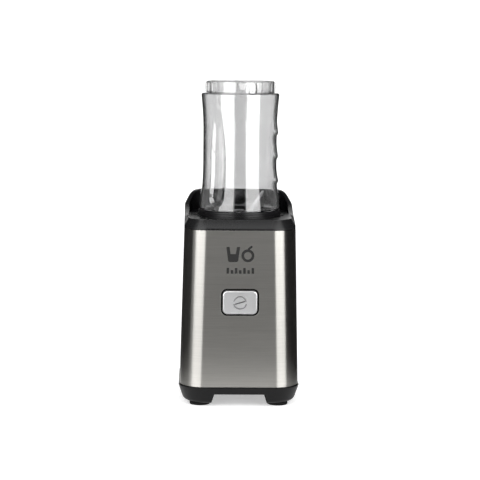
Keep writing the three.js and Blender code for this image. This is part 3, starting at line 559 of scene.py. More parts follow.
def makeTray():
    t = tray
    half, bottom, rim = t["half"], t["bottom"], t["rim"]
    piece = addRoundedBlock("baseShell", half, half, bottom, rim, t["corner"], t["cornerSteps"])
    startEdit(piece)
    landZ = rim - t["land"]
    bpy.ops.mesh.bisect(plane_co=(0, 0, landZ * mm), plane_no=(0, 0, 1))
    pullCornersIn(lambda v: v.co.z < bottom * mm + near, t["draft"] * (landZ - bottom) * mm)
    pick("FACE", facesDown)
    bpy.ops.mesh.region_to_loop()
    bpy.ops.mesh.bevel(offset=t["footEdge"] * mm, segments=6, profile=0.5)
    endEdit()
    inner = t["innerHalf"]
    hollow = addRoundedBlock("hollow", inner, inner, t["floor"], rim + 9, t["innerCorner"])
    channels = []
    for turn in (0, 90):
        channel = addBlock("channel", (-t["legHalf"], -70, 0), (t["legHalf"], 70, t["skirt"]))
        startEdit(channel)
        pick("VERT", lambda v: v.co.z < near)
        bpy.ops.transform.resize(value=(t["legSpread"], 1, 1))
        endEdit()
        placeWithMatrix(channel, aboutZ(turn))
        channels.append(channel)
    cutAway(piece, hollow, *channels)
    for i in range(t["ventCount"]):
        x = (i - (t["ventCount"] - 1) / 2) * t["ventPitch"]
        reach = math.sqrt(t["ventRound"] ** 2 - x**2)
        vent = addRoundedBlock("vent", t["ventHalf"], reach, t["skirt"] - 1, t["floor"] + 1, 1.4, 3)
        placeWithMatrix(vent, Matrix.Translation((x * mm, 0, 0)))
        cutAway(piece, vent)
    for sx, sy in corners:
        x, y = sx * t["footAt"], sy * t["footAt"]
        weldOn(piece, addRod("post", t["postRadius"], t["floor"] - 1, rim + 3.4, x, y, 24))
        cutAway(
            piece,
            addRod("footSeat", t["footSeat"], bottom - 2, bottom + 2.9, x, y, 32),
            addRod("screwSeat", t["screwSeat"], bottom, bottom + 6.6, x, y, 24),
            addRod("screwBore", t["screwBore"], bottom, rim + 5, x, y, 20),
        )
    outer = t["upstandHalf"]
    upstand = addRoundedBlock("upstand", outer, outer, rim - 0.6, rim + 6, t["upstandCorner"])
    cutAway(upstand, addRoundedBlock("inside", inner, inner, rim - 2, rim + 7, t["innerCorner"]))
    weldOn(piece, upstand)
    softenEdges(piece, t["soften"], 2, 40)
    finishPiece(piece, "base", "satin_black", ["base_housing"])


makeTray()
print("base housing made")

# rubber feet

footPad = {
    "radius": 10.3,
    "height": 2.9,
    "plug": 7.0,
    "plugTop": 5.8,
    "edge": 0.7,
    "dishRim": 2.4,
    "dish": 0.8,
}


def makeFeet():
    f = footPad
    first = addRod("footPad", f["radius"], 0, f["height"])
    startEdit(first)
    pick("FACE", facesUp)
    bpy.ops.mesh.inset(thickness=(f["radius"] - f["plug"]) * mm)
    extrudeBy((0, 0, (f["plugTop"] - f["height"]) * mm))
    pick("FACE", facesDown)
    bpy.ops.mesh.inset(thickness=f["dishRim"] * mm)
    extrudeBy((0, 0, f["dish"] * mm))
    endEdit()
    softenEdges(first, f["edge"], 3, 50)
    for corner in ("front_left", "front_right", "rear_right", "rear_left"):
        low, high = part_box("foot_" + corner)
        centre = (low + high) / 2
        name = "foot" + corner.title().replace("_", "")
        twin = copyPiece(first, name, Matrix.Translation((centre.x, centre.y, 0)))
        finishPiece(twin, "base", "rubber_black", ["foot_" + corner])
    bpy.data.objects.remove(first)


makeFeet()
print("feet made")

# steel sleeve with its pressed opening for the button

sleeve = {
    "bottom": 20.7,
    "top": 178.6,
    "half": 60.15,
    "draft": 0.02483,
    "wall": 0.8,
    "corner": 25.0,
    "cornerSteps": 20,
    "openHalfX": 19.1,
    "openHalfZ": 13.6,
    "openCorner": 6.2,
    "buttonZ": 106.8,
    "glandZ": 35.4,
    "glandHole": 6.3,
    "lip": 0.34,
}


def sleeveHalf(z):
    return sleeve["half"] - sleeve["draft"] * (z - sleeve["bottom"])


def makeSleeve():
    s = sleeve
    half, top = s["half"], s["top"]
    piece = addRoundedBlock("steelShell", half, half, s["bottom"], top, s["corner"], s["cornerSteps"])
    startEdit(piece)
    pullCornersIn(lambda v: v.co.z > top * mm - near, (half - sleeveHalf(top)) * mm)
    pick("FACE", lambda f: facesUp(f) or facesDown(f))
    bpy.ops.mesh.delete(type="FACE")
    # both panels are divided round their openings, which keeps the long faces flat and even
    frames = [(-1, s["openHalfX"] + 3, s["buttonZ"], s["openHalfZ"] + 3), (1, 9, s["glandZ"], 9)]
    for side, halfX, centre, halfZ in frames:
        for x in (-halfX, halfX):
            pick("FACE", lambda f: f.normal.y * side > 0.99)
            bpy.ops.mesh.bisect(plane_co=(x * mm, 0, 0), plane_no=(1, 0, 0))
        for z in (centre - halfZ, centre + halfZ):
            pick("FACE", lambda f: f.normal.y * side > 0.99)
            bpy.ops.mesh.bisect(plane_co=(0, 0, z * mm), plane_no=(0, 0, 1))
    endEdit()
    giveWall(piece, s["wall"])
    window = addRoundedBlock("window", s["openHalfX"], s["openHalfZ"], 0, 80, s["openCorner"], 8)
    placeWithMatrix(window, crossMatrix(0, s["buttonZ"]))
    hole = addRod("glandHole", s["glandHole"], -80, 0, sides=32)
    placeWithMatrix(hole, crossMatrix(0, s["glandZ"]))
    cutAway(piece, window, hole)
    softenEdges(piece, s["lip"], 3, 50)
    finishPiece(piece, "base", "brushed_steel", ["steel_sleeve"], 25)


makeSleeve()
print("steel sleeve made")

# collar: a band that leans in at the front and rises into a hood at the back

hood = {
    "bottom": 178.9,
    "deck": 189.1,
    "top": 210.9,
    "half": 56.15,
    "corner": 25.0,
    "wall": 4.5,
    "cornerSteps": 16,
    "sideSteps": 16,
    "edgeHalf": 55.89,  # the band's top edge ends this far back
    "edgeRise": 2.4,  # its height over the bottom at the front
    "frontPull": (22, 0.18),  # in from the back, and share of the hood's rise
    "knee": (13, 0.6),
    "backPull": (8, 0.84),
    "crest": 5,
    "deckHalf": 52.1,
    "deckCorner": 20.6,
    "deckUnder": 186.1,
    "wellRadius": 43.0,
    "wellWall": 2.4,
    "ledge": 165.6,
    "floor": 160.4,
    "under": 157.4,
    "narrow": 36.0,
    "lip": 190.1,
    "keyIn": 34,
    "keyWidth": 14.0,
    "keyReach": 45.3,
    "bossRadius": 4.5,
    "bossAt": 33,
    "sealBore": 7.3,
    "pinBore": 2.1,
    "pinAt": 43.6,
    "soften": 0.9,
}


def bezier(points, t):
    a, b, c, d = (Vector(p) for p in points)
    return a * (1 - t) ** 3 + 3 * b * t * (1 - t) ** 2 + 3 * c * t * t * (1 - t) + d * t**3


def hoodCurve():
    # the band's top edge seen from the side, as [distance back, height]
    h, half = hood, hood["edgeHalf"]
    low, rise = h["bottom"] + h["edgeRise"], h["top"] - h["deck"]
    pulls = [h["frontPull"], h["knee"], h["backPull"]]
    frontPull, knee, backPull = ((half - inward, h["deck"] + share * rise) for inward, share in pulls)
    first = [(h["corner"] - half, low), (0, low + 5), frontPull, knee]
    second = [knee, backPull, (half - h["crest"], h["top"]), (half, h["top"])]
    steps = 24
    ways = [bezier(first, i / steps) for i in range(steps)]
    return ways + [bezier(second, i / steps) for i in range(steps + 1)]


def hoodHeight(line, y):
    if y <= line[0].x:
        return line[0].y
    for a, b in zip(line, line[1:]):
        if a.x <= y <= b.x and b.x > a.x:
            return a.y + (b.y - a.y) * (y - a.x) / (b.x - a.x)
    return line[-1].y


def makeBand():
    # a hollow square band whose top edge follows the hood's curve
    h = hood
    line, half = hoodCurve(), h["half"]
    piece = addRoundedBlock("collarShell", half, half, h["bottom"], h["top"], h["corner"], h["cornerSteps"])
    startEdit(piece)
    side = half - h["corner"]
    for i in range(1, h["sideSteps"]):
        selectAll()
        y = -side + 2 * side * i / h["sideSteps"]
        bpy.ops.mesh.bisect(plane_co=(0, y * mm, 0), plane_no=(0, 1, 0))
    # the lid faces are joined again, so that one inset follows the whole outline
    pick("FACE", facesUp)
    bpy.ops.mesh.dissolve_faces()
    pick("FACE", facesDown)
    bpy.ops.mesh.dissolve_faces()
    pick("FACE", lambda f: facesUp(f) or facesDown(f))
    bpy.ops.mesh.inset(thickness=h["wall"] * mm, use_even_offset=True)
    mesh = bmesh.from_edit_mesh(piece.data)
    inner = {v.index for f in mesh.faces if f.select for v in f.verts}
    bpy.ops.mesh.delete(type="ONLY_FACE")
    topZ = h["top"] * mm - near
    mesh = bmesh.from_edit_mesh(piece.data)
    mesh.verts.ensure_lookup_table()
    lifts = {}
    for v in mesh.verts:
        if v.index not in inner and v.co.z >= topZ:
            lifts[v.index] = hoodHeight(line, v.co.y / mm)
    for v in mesh.verts:
        if v.index in lifts:
            v.co.z = lifts[v.index] * mm
        elif v.index in inner and v.co.z > topZ:
            outer = [e.other_vert(v).index for e in v.link_edges if e.other_vert(v).index in lifts]
            v.co.z = max(h["deck"], lifts[outer[0]]) * mm
    pick("EDGE", lambda e: all(v.index in inner for v in e.verts))
    bpy.ops.mesh.bridge_edge_loops()
    selectAll()
    bpy.ops.mesh.normals_make_consistent(inside=False)
    endEdit()
    return piece


def makeCollar():
    h = hood
    piece = makeBand()
    around, half = h["wellWall"], h["keyWidth"] / 2
    deckHalf = h["deckHalf"]
    deck = addRoundedBlock("deck", deckHalf, deckHalf, h["deckUnder"], h["deck"], h["deckCorner"], 12)
    well = addRod("well", h["wellRadius"] + around, h["ledge"] - around, h["lip"], sides=96)
    cup = addRod("cup", h["narrow"] + around, h["under"], h["ledge"], sides=96)
    weldOn(piece, deck, well, cup)
    for turn in thirds:
        low = (h["keyIn"], -half - 1, h["ledge"] - around)
        cheek = addBlock("cheek", low, (h["keyReach"] + around, half + 1, h["deck"] - 1))
        placeWithMatrix(cheek, turn)
        weldOn(piece, cheek)
    for sx, sy in corners:
        x, y = sx * tray["footAt"], sy * tray["footAt"]
        weldOn(piece, addRod("column", h["bossRadius"], tray["rim"] + 3.9, h["deckUnder"] + 1, x, y, 24))
        cutAway(piece, addRod("columnBore", tray["screwBore"], tray["rim"] + 2, tray["rim"] + 24, x, y, 16))
    for turn in (30, 150, 270):
        x, y = h["bossAt"] * math.cos(math.radians(turn)), h["bossAt"] * math.sin(math.radians(turn))
        weldOn(piece, addRod("boss", h["bossRadius"], h["under"] - 6.5, h["under"] + 1, x, y, 24))
    cutAway(
        piece,
        addRod("bore", h["wellRadius"], h["ledge"], h["top"] + 5, sides=96),
        addRod("boreLow", h["narrow"], h["floor"], h["top"], sides=96),
        addRod("sealBore", h["sealBore"], h["under"] - 1, h["floor"] + 1, sides=32),
        addRod("pinBore", h["pinBore"], h["ledge"] - 10, h["ledge"] + 1, 0, h["pinAt"], 16),
    )
    for turn in thirds:
        key = addBlock("key", (h["keyIn"], -half, h["ledge"]), (h["keyReach"], half, h["top"] + 5))
        placeWithMatrix(key, turn)
        cutAway(piece, key)
    softenEdges(piece, h["soften"], 3, 38)
    finishPiece(piece, "base", "gloss_black", ["collar"], 30)


makeCollar()
print("collar made")

# push button, proud of the panel, with a plain broken-ring mark

button = {
    "halfX": 17.1,
    "halfZ": 11.6,
    "corner": 4.5,
    "front": 60.5,
    "flangeFront": 54.02,
    "flangeMargin": 2.1,
    "stemRadius": 4.0,
    "soften": 1.1,
    "dishRim": 1.6,
    "dish": 0.18,
    "ringRadius": 6.2,
    "ringThick": 0.6,
    "ringGap": 1.5,  # half the gap at each side of the ring
    "armHalf": 5.2,
    "armRise": 1.4,
}


def makeMark():
    # a ring with two gaps, and a two-armed blade sign inside it
    b = button
    deselectAll()
    bpy.ops.mesh.primitive_torus_add(
        major_radius=b["ringRadius"] * mm,
        minor_radius=b["ringThick"] * mm,
        major_segments=64,
        minor_segments=12,
    )
    ring = nameNew("buttonMark")
    startEdit(ring)
    pick("FACE", lambda f: abs(f.calc_center_median().y) < b["ringGap"] * mm)
    bpy.ops.mesh.delete(type="FACE")
    pick("EDGE", lambda e: e.is_boundary)
    bpy.ops.mesh.edge_face_add()
    endEdit()
    arm = addRoundedBlock("arm", b["armHalf"], 0.55, -0.4, 0.4, 0.5, 3)
    startEdit(arm)
    for side in (1, -1):
        pick("VERT", lambda v: v.co.x * side > 2 * mm)
        bpy.ops.transform.translate(value=(0, side * b["armRise"] * mm, 0))
    endEdit()
    makeActive(ring)
    arm.select_set(True)
    bpy.ops.object.join()
    return ring


def makeButton():
    b = button
    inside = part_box("power_button")[1].y / mm
    halfX, halfZ, flangeFront = b["halfX"], b["halfZ"], b["flangeFront"]
    piece = addRoundedBlock("buttonCap", halfX, halfZ, flangeFront - 1, b["front"], b["corner"], 8)
    startEdit(piece)
    pick("FACE", facesUp)
    bpy.ops.mesh.region_to_loop()
    bpy.ops.mesh.bevel(offset=b["soften"] * mm, segments=4, profile=0.6)
    pick("FACE", lambda f: facesUp(f) and f.calc_area() > 100 * mm * mm)
    bpy.ops.mesh.inset(thickness=b["dishRim"] * mm)
    bpy.ops.transform.translate(value=(0, 0, -b["dish"] * mm))
    endEdit()
    halfX, halfZ = halfX + b["flangeMargin"], halfZ + b["flangeMargin"]
    skirt = addRoundedBlock("buttonSkirt", halfX, halfZ, flangeFront - 2, flangeFront, b["corner"], 6)
    stem = addRod("stem", b["stemRadius"], -inside, flangeFront - 1, sides=32)
    for part in (piece, skirt, stem):
        placeWithMatrix(part, crossMatrix(0, sleeve["buttonZ"]))
    finishPiece(piece, "button", "silver_button", ["power_button"], 30)
    weldOn(skirt, stem)
    finishPiece(skirt, "button", "gloss_black", angle=30)
    mark = makeMark()
    placeWithMatrix(mark, crossMatrix(-(b["front"] - 0.2), sleeve["buttonZ"]))
    markSilver = metal("markSilver", (0.24, 0.24, 0.245), 0.3, scale=1500.0)
    finishPiece(mark, "button", "silver_button", angle=40, material=markSilver)


makeButton()
print("button made")

# blade holder: a black ring with three locking lugs

holderRing = {
    "radius": 42.3,
    "top": 194.9,
    "bottom": 165.9,
    "wall": 5.6,
    "skirtWall": 2.4,
    "floorTop": 178.4,
    "floorUnder": 175.4,
    "hubRadius": 12.0,
    "hubBottom": 170.2,
    "hubTop": 183.9,
    "bore": 6.3,
    "lugReach": 44.9,
    "lugWidth": 10.0,
    "lugHeight": 6.0,
    "grooveDepth": 0.5,
}


def makeHolder():
    h = holderRing
    r, top, bottom = h["radius"], h["top"], h["bottom"]
    inner, skirt, groove = r - h["wall"], r - h["skirtWall"], r - h["grooveDepth"]
    profile = [
        (h["bore"], h["hubBottom"]),
        (h["hubRadius"], h["hubBottom"]),
        (h["hubRadius"], h["floorUnder"]),
        (skirt, h["floorUnder"]),
        (skirt, bottom),
        (r, bottom),
        (r, top - 2.6),
        (groove, top - 2.3),
        (groove, top - 1.9),
        (r, top - 1.6),
        (r - 0.2, top - 0.5),
        (r - 0.9, top),
        (inner + 0.5, top),
        (inner, top - 0.5),
        (inner, h["floorTop"] + 0.6),
        (inner - 0.6, h["floorTop"]),
        (h["hubRadius"] + 1, h["floorTop"]),
        (h["hubRadius"] - 2.5, h["hubTop"]),
        (h["bore"], h["hubTop"]),
    ]
    piece = spinProfile("holderRing", profile, 128, True)
    half = h["lugWidth"] / 2
    for turn in thirds:
        lug = addBlock("lug", (r - 1.5, -half, bottom), (h["lugReach"], half, bottom + h["lugHeight"]))
        softenEdges(lug, 0.6, 2)
        placeWithMatrix(lug, turn)
        weldOn(piece, lug)
    finishPiece(piece, "cup", "gloss_black", ["blade_holder"], 30)


makeHolder()
print("blade holder made")

# clear bottle, upside down, with a thumb flute, finger grips, a threaded neck and a foot ring

flask = {
    "neckRadius": 35.5,
    "neckBottom": 181.0,
    "mouth": 195.2,
    "outline": [
        (41.3, 195.6),
        (41.1, 199.9),
        (40.1, 209.4),
        (38.5, 218.9),
        (37.75, 236.7),
        (37.7, 258.0),
        (37.75, 280.7),
        (38.5, 296.1),
        (39.75, 310.6),
    ],
    "heel": [(39.8, 311.9), (39.5, 312.9), (38.8, 313.6), (37.9, 313.9)],
    "rowPitch": 1.5,
    "steps": 192,
    "wall": 1.5,
    "base": 314.2,
    "skinRadius": 36,  # the outside of the wall is further out than this
}
footRing = {
    "outer": 34.7,
    "inner": 31.5,
    "top": 325.9,
    "windowWidth": 8.0,
    "windowAngles": [-70, 50, 170],
    "slotAngle": 2,
    "ribAngles": [-172, -160, -147, -138, -4, 96],
}
flute = {
    "angle": -128,
    "halfWidth": 9.0,
    "low": 200.5,
    "taperFrom": 250,
    "high": 297.0,
    "taper": 0.62,
    "depth": 2.3,
}
grips = {
    "heights": [273.0, 249.0, 224.0],
    "angle": -2.0,
    "spread": 26.0,
    "droop": 5,  # how much higher the ends of each crescent are
    "above": 13,
    "below": 3.2,
    "lift": 1.6,
}
thread = {"reach": 0.85, "root": 0.3, "tall": 1.8, "pitch": 4.2, "sweep": 620, "steps": 150}


def wrapped(degrees):
    return (degrees + 180) % 360 - 180


def fluteWeight(co):
    # 1 at the middle of the thumb flute: round at its lower end, fading out towards its top
    f = flute
    radius, z = math.hypot(co.x, co.y) / mm, co.z / mm
    angle = math.degrees(math.atan2(co.y, co.x))
    if radius < flask["skinRadius"] or not f["low"] - 1 < z < f["high"]:
        return 0.0
    along = math.radians(wrapped(angle - f["angle"])) * radius
    upper = min(1.0, max(0.0, (z - f["taperFrom"]) / (f["high"] - f["taperFrom"])))
    half = f["halfWidth"] * (1 - f["taper"] * upper**1.4)
    centre = f["low"] + f["halfWidth"]
    distance = math.hypot(along, z - centre) if z < centre else abs(along)
    u = distance / half
    if u >= 1:
        return 0.0
    fade = 1 - upper**1.3
    crisp = 1.9 - 0.9 * upper
    return fade * min(1.0, crisp * (1 - u * u))


def gripWeight(co):
    # crescent ridges for the fingers, soft above and sharp below
    g = grips
    angle, z = math.degrees(math.atan2(co.y, co.x)), co.z / mm
    if math.hypot(co.x, co.y) / mm < flask["skinRadius"]:
        return 0.0
    off = wrapped(angle - g["angle"]) / g["spread"]
    if abs(off) >= 1:
        return 0.0
    side = math.cos(off * math.pi / 2) ** 0.8
    best = 0.0
    for ridge in g["heights"]:
        t = z - ridge - g["droop"] * off * off
        if 0 <= t < g["above"]:
            best = max(best, side * (1 - t / g["above"]) ** 1.3)
        elif -g["below"] < t < 0:
            best = max(best, side * (1 + t / g["below"]))
    return best


def displaceBy(piece, name, weigh, strength):
    group = piece.vertex_groups.new(name=name)
    for v in piece.data.vertices:
        weight = weigh(v.co)
        if weight > 0:
            group.add([v.index], weight, "REPLACE")
    settings = {"vertex_group": name, "strength": strength * mm, "mid_level": 0, "direction": "NORMAL"}
    applyModifier(piece, "DISPLACE", "shape", settings)
    piece.vertex_groups.clear()


def makeThread():
    t = thread
    low, wide = flask["neckBottom"] + 1.6, t["reach"] + t["root"]
    r = flask["neckRadius"] - t["root"]
    deselectAll()
    bpy.ops.mesh.primitive_plane_add(size=mm, location=(0, 0, 0))
    piece = nameNew("bottleThread")
    startEdit(piece)
    bpy.ops.transform.rotate(value=math.radians(90), orient_axis="X", center_override=(0, 0, 0))
    bpy.ops.transform.resize(value=(wide, 1, t["tall"]))
    bpy.ops.transform.translate(value=((r + wide / 2) * mm, 0, (low + t["tall"] / 2) * mm))
    pick("VERT", lambda v: v.co.x > (r + t["reach"] / 2) * mm)
    bpy.ops.transform.resize(value=(1, 1, 0.45))
    endEdit()
    windUp(piece, t["sweep"], t["pitch"] * t["sweep"] / 360, t["steps"])
    finishPiece(piece, "bottle", "clear_bottle", angle=40)


def makeFootRing():
    r, base = footRing, flask["base"]
    outer, inner, top = r["outer"], r["inner"], r["top"]
    profile = [
        (inner, base - 0.7),
        (outer + 0.5, base - 0.7),
        (outer, base + 0.6),
        (outer - 0.05, top - 1.7),
        (outer - 0.25, top - 0.9),
        (outer - 0.8, top - 0.25),
        (outer - 1.6, top),
        (inner + 0.8, top - 0.25),
        (inner + 0.25, top - 0.9),
        (inner, top - 1.7),
    ]
    piece = spinProfile("footRing", profile, 128, True)
    for place in r["windowAngles"]:
        window = addRoundedBlock("archWindow", r["windowWidth"] / 2, 5.2, 28, 38, 2.6, 5)
        placeWithMatrix(window, aboutZ(place + 90) @ crossMatrix(0, base + 4.4))
        cutAway(piece, window)
    slot = addRoundedBlock("tagSlot", 2.6, 3.2, 30, 38, 0.8, 3)
    startEdit(slot)
    pick("VERT", lambda v: v.co.y > 0)
    bpy.ops.transform.resize(value=(1.35, 1, 1))
    endEdit()
    placeWithMatrix(slot, aboutZ(r["slotAngle"]) @ crossMatrix(0, base + 6.3))
    cutAway(piece, slot)
    for place in r["ribAngles"]:
        rib = addRoundedBlock("rib", 1.2, 1.1, base + 0.2, top - 1.2, 0.5, 3)
        placeWithMatrix(rib, aboutZ(place) @ Matrix.Translation((outer * mm, 0, 0)))
        weldOn(piece, rib)
    softenEdges(piece, 0.35, 2, 50)
    return piece


def makeBottle():
    f = flask
    neck, mouth, base = f["neckRadius"], f["mouth"], f["base"]
    profile = [
        (neck - 0.5, f["neckBottom"]),
        (neck, f["neckBottom"] + 0.5),
        (neck, 185.0),
        (neck, 190.0),
        (neck, mouth - 0.4),
        (neck + 0.4, mouth),
        (38.5, mouth),
        (40.8, mouth),
        (41.15, mouth + 0.12),
    ]
    profile += smoothChain(f["outline"], f["rowPitch"]) + f["heel"]
    profile += [(33.0, base), (24.0, base + 0.1), (12.0, base + 0.1), (0.0, base + 0.1)]
    piece = spinProfile("bottleShell", profile, f["steps"], False)
    displaceBy(piece, "flute", fluteWeight, -flute["depth"])
    displaceBy(piece, "grip", gripWeight, grips["lift"])
    giveWall(piece, f["wall"])
    weldOn(piece, makeFootRing())
    finishPiece(piece, "bottle", "clear_bottle", ["bottle"], 28)


makeBottle()
makeThread()
print("bottle made")

# the two return springs, which shorten as their buttons go in; here each is built at one fixed length

springs = {
    "buttonCoil": {
        "node": "button_spring",
        "joint": "button_press",
        "travel": 2.5,
        "radius": 6.0,
        "wire": 0.48,
        "turns": 3,
        "length": 5.4,
        "seat": (0, -46.15, 106.8),
        "axis": (0, 1, 0),
    },
    "latchCoil": {
        "node": "interlock_spring",
        "joint": "interlock_press",
        "travel": 3.0,
        "radius": 2.7,
        "wire": 0.38,
        "turns": 4,
        "length": 6.2,
        "seat": (0, 43.6, 155.25),
        "axis": (0, 0, 1),
    },
}


def makeSpring(name):
    s = springs[name]
    deselectAll()
    bpy.ops.mesh.primitive_circle_add(vertices=12, radius=s["wire"] * mm)
    coil = nameNew(name)
    startEdit(coil)
    bpy.ops.transform.rotate(value=math.radians(90), orient_axis="X", center_override=(0, 0, 0))
    bpy.ops.transform.translate(value=(s["radius"] * mm, 0, s["wire"] * mm))
    endEdit()
    windUp(coil, 360 * s["turns"], s["length"] - 2 * s["wire"], 28 * s["turns"])
    startEdit(coil)
    bpy.ops.mesh.fill_holes(sides=0)
    endEdit()
    tidyMesh(coil)
    seat = Vector(s["seat"]) * mm
    lies = s["axis"] == (0, 1, 0)
    placeWithMatrix(coil, crossMatrix(*s["seat"][1:]) if lies else Matrix.Translation(seat))
    finishPiece(coil, "base", "zinc_steel", [s["node"]], 40)
    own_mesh(coil)


for spring in springs:
    makeSpring(spring)
print("springs made")

# cord gland on the back

gland = {
    "flange": 8.2,
    "rim": 0.8,
    "inner": 3.7,
    "mouth": 7.0,  # how deep the cord's hole is
    "front": 60.9,
    "back": 60.2,
    "step": 0.3,
    "neck": 5.9,
    "end": 52.0,
}


def makeGland():
    g = gland
    piece = addRod("glandBush", g["flange"], g["end"], g["front"])
    startEdit(piece)
    for z in (g["back"], g["back"] - g["step"]):
        selectAll()
        bpy.ops.mesh.bisect(plane_co=(0, 0, z * mm), plane_no=(0, 0, 1))
    pick("VERT", lambda v: v.co.z < (g["back"] - 0.2) * mm)
    bpy.ops.transform.resize(value=(g["neck"] / g["flange"], g["neck"] / g["flange"], 1))
    pick("FACE", facesUp)
    bpy.ops.mesh.inset(thickness=(g["flange"] - g["inner"] - g["rim"]) * mm)
    bpy.ops.mesh.inset(thickness=g["rim"] * mm)
    extrudeBy((0, 0, -g["mouth"] * mm))
    endEdit()
    softenEdges(piece, 0.25, 2, 50)
    lift = Matrix.Translation((0, 0, sleeve["glandZ"] * mm))
    placeWithMatrix(piece, lift @ Matrix.Rotation(math.radians(-90), 4, "X"))
    finishPiece(piece, "base", "rubber_black", ["cord_gland"], 30)


makeGland()
print("cord gland made")

# printed mark above the button: a tumbler, a round fruit and a row of bars

printMark = {
    "thick": 0.06,
    "low": 147.2,
    "high": 162.4,
    "stroke": 2.6,
    "tumblerMiddle": -7.2,
    "tumblerTop": 6.8,  # half widths
    "tumblerFoot": 4.9,
    "fruitMiddle": 7.4,
    "fruitRadius": 6.4,
    "leafTurn": 38,
    "barLow": 135.6,
    "barHigh": 141.4,
    "barWidth": 2.5,
    "barPitch": 4.15,
    "barHeights": [1.0, 0.62, 1.0, 0.62, 1.0, 0.62, 1.0],
}


def standOnPanel(piece, x, z):
    # a flat patch, built lying down, is stood on the leaning panel
    lean = Matrix.Rotation(math.radians(90) - math.atan(sleeve["draft"]), 4, "X")
    spot = Matrix.Translation((x * mm, -(sleeveHalf(z) - 0.01) * mm, z * mm))
    placeWithMatrix(piece, spot @ lean)


def makePrint():
    p = printMark
    foot, thick, low, high = p["tumblerFoot"], p["thick"], p["low"], p["high"]
    halfHigh, stroke = (high - low) / 2, p["stroke"]
    tumbler = addBlock("panelPrint", (-foot, -halfHigh, 0), (foot, halfHigh, thick))
    startEdit(tumbler)
    pick("VERT", lambda v: v.co.y > 0)
    bpy.ops.transform.resize(value=(p["tumblerTop"] / foot, 1, 1))
    pick("EDGE", lambda e: isUpright(e) and middle(e).y < 0)
    bpy.ops.mesh.bevel(offset=1.6 * mm, segments=4, profile=0.5)
    endEdit()
    inside = foot - stroke * 0.85
    space = addBlock("space", (-inside, 0.4, -1), (inside, halfHigh + 2, 1))
    startEdit(space)
    pick("VERT", lambda v: v.co.y > 5 * mm)
    bpy.ops.transform.resize(value=(1.5, 1, 1))
    endEdit()
    cutAway(tumbler, space)
    standOnPanel(tumbler, p["tumblerMiddle"], (low + high) / 2)
    fruit = addRod("fruit", p["fruitRadius"], 0, thick, sides=48)
    cutAway(fruit, addRod("core", p["fruitRadius"] - stroke, -1, 1, sides=48))
    standOnPanel(fruit, p["fruitMiddle"], low + p["fruitRadius"])
    leaf = addRoundedBlock("leaf", 2.6, 1.05, 0, thick, 1.0, 4)
    placeWithMatrix(leaf, aboutZ(p["leafTurn"]))
    standOnPanel(leaf, p["fruitMiddle"] + 2.4, high - 0.9)
    parts = [fruit, leaf]
    for i, share in enumerate(p["barHeights"]):
        half = (p["barHigh"] - p["barLow"]) / 2 * share
        bar = addRoundedBlock("bar", p["barWidth"] / 2, half, 0, thick, 0.4, 3)
        standOnPanel(bar, (i - (len(p["barHeights"]) - 1) / 2) * p["barPitch"], p["barLow"] + half)
        parts.append(bar)
    makeActive(tumbler)
    for part in parts:
        part.select_set(True)
    bpy.ops.object.join()
    ink = moulded("printInk", (0.012, 0.0118, 0.0115), 0.55, 900.0, 0.02, Specular_IOR_Level=0.25)
    finishPiece(tumbler, "base", "satin_black", angle=30, material=ink)


makePrint()
print("printed mark made")

# stage, lights and camera, in metres

view = {
    "distance": 1.6,
    "pitch": 6.87,
    "yaw": -1.6,
    "roll": 0.55,
    "aim": (0.001, 0.0, 0.1625),
    "lens": 116.5,
}


def makeCamera():
    pitch, yaw = math.radians(view["pitch"]), math.radians(view["yaw"])
    level = math.cos(pitch)
    back = Vector((math.sin(yaw) * level, -math.cos(yaw) * level, math.sin(pitch)))
    data = bpy.data.cameras.new("camera")
    data.lens = view["lens"]
    data.sensor_width = 36
    data.clip_start = 0.05
    camera = bpy.data.objects.new("camera", data)
    bpy.context.scene.collection.objects.link(camera)
    facing = back.to_track_quat("Z", "Y").to_matrix().to_4x4()
    place = Matrix.Translation(Vector(view["aim"]) + back * view["distance"])
    camera.matrix_world = place @ facing @ aboutZ(view["roll"])
    bpy.context.scene.camera = camera


stageLook = {
    "half": 3.2,
    "height": 3.0,
    "sweep": 0.9,  # radius of the bend from floor to wall
    "color": (0.84, 0.84, 0.84),
    "glow": 0.42,
    "skyStrength": 0.85,
}


def makeStage():
    s = stageLook
    deselectAll()
    bpy.ops.mesh.primitive_plane_add(size=2 * s["half"], location=(0, 0, 0))
    floor = nameNew("studioFloor")
    startEdit(floor)
    pick("EDGE", lambda e: middle(e).y > s["half"] - 0.01)
    extrudeBy((0, 0, s["height"]))
    pick("EDGE", lambda e: abs(middle(e).y - s["half"]) < 0.01 and middle(e).z < 0.01)
    bpy.ops.mesh.bevel(offset=s["sweep"], segments=12, profile=0.5)
    endEdit()
    bpy.ops.object.shade_smooth()
    paint = Paint("studioFloor", s["color"], 0.7)
    paint.set("Emission Color", (1, 1, 1, 1))
    paint.set("Emission Strength", s["glow"])
    floor.data.materials.append(paint.material)


def makeSky():
    scene = bpy.context.scene
    scene.world = scene.world or bpy.data.worlds.new("studio")
    scene.world.use_nodes = True
    sky = scene.world.node_tree.nodes["Background"]
    sky.inputs["Color"].default_value = (1, 1, 1, 1)
    sky.inputs["Strength"].default_value = stageLook["skyStrength"]
    scene.view_settings.view_transform = "Standard"


# bearing is degrees from straight in front, + to the right
softboxes = {
    "leftBox": {"bearing": -40, "distance": 1.15, "height": 0.6, "size": (0.9, 1.5), "power": 11.8},
    "rightBox": {"bearing": 39, "distance": 1.15, "height": 0.6, "size": (0.86, 1.5), "power": 12.2},
    "topBox": {"bearing": 0, "distance": 1.95, "height": 2.0, "size": (1.05, 1.7), "power": 10.0},
}
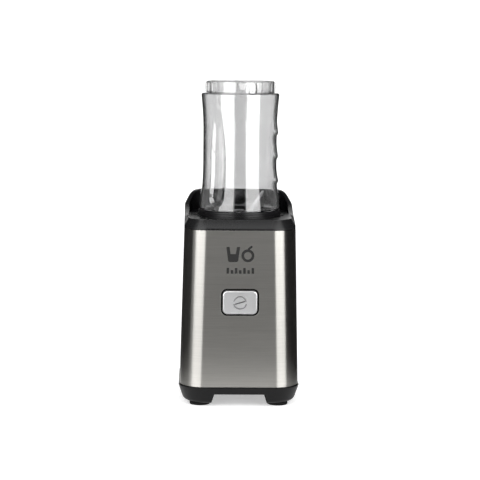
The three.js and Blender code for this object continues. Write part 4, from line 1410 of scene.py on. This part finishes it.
# dark cards keep the gap in front, the sides and the ceiling out of the reflections
uprightCards = {
    "frontCard": {"bearing": 0, "distance": 1.9, "height": 0.56, "size": (1.0, 1.12), "shade": 0.02},
    "leftCard": {"bearing": -98, "distance": 1.0, "height": 0.8, "size": (0.85, 1.6), "shade": 0.02},
    "rightCard": {"bearing": 89, "distance": 1.0, "height": 0.8, "size": (1.05, 1.6), "shade": 0.01},
    "leftBackCard": {"bearing": -140, "distance": 0.9, "height": 0.7, "size": (0.85, 1.4), "shade": 0.01},
    "rightBackCard": {"bearing": 140, "distance": 0.9, "height": 0.7, "size": (0.85, 1.4), "shade": 0.01},
}
flatCards = {
    "frontFloorCard": {"place": (0, -1.16, 0.004), "size": (1.7, 2.08), "shade": 0.05},
    "rightFloorCard": {"place": (0.9, 0.1, 0.004), "size": (1.6, 2.0), "shade": 0.01},
    "leftFloorCard": {"place": (-0.86, 0.2, 0.004), "size": (1.5, 1.8), "shade": 0.03},
    "ceilingCard": {"place": (0, 0, 1.7), "size": (3.2, 3.2), "shade": 0.06},
}
seenThroughBottle = ["frontCard", "frontFloorCard"]


def facingObject(look):
    turn, distance = math.radians(look["bearing"]), look["distance"]
    outward = Vector((distance * math.sin(turn), -distance * math.cos(turn), 0))
    facing = outward.to_track_quat("Z", "Y").to_matrix().to_4x4()
    return Matrix.Translation(outward + Vector((0, 0, look["height"]))) @ facing


def addSoftbox(name, look):
    data = bpy.data.lights.new(name, "AREA")
    data.shape, data.energy = "RECTANGLE", look["power"]
    data.size, data.size_y = look["size"]
    lamp = bpy.data.objects.new(name, data)
    bpy.context.scene.collection.objects.link(lamp)
    lamp.matrix_world = facingObject(look)
    lamp.visible_camera = False


def addCard(name, look, matrix):
    # a dark card, seen only in reflections, and through the clear bottle if it is listed
    deselectAll()
    bpy.ops.mesh.primitive_plane_add(size=1, location=(0, 0, 0))
    card = nameNew(name)
    placeWithMatrix(card, matrix @ Matrix.Diagonal((*look["size"], 1, 1)))
    card.data.materials.append(Paint(name, [look["shade"]] * 3, 0.9).material)
    card.visible_camera = False
    card.visible_shadow = False
    card.visible_diffuse = False
    card.visible_transmission = name in seenThroughBottle


makeStage()
for name, look in softboxes.items():
    addSoftbox(name, look)
for name, look in uprightCards.items():
    addCard(name, look, facingObject(look))
for name, look in flatCards.items():
    addCard(name, look, Matrix.Translation(look["place"]))
makeSky()
makeCamera()
print("stage, lights and camera made")

bpy.context.view_layer.update()
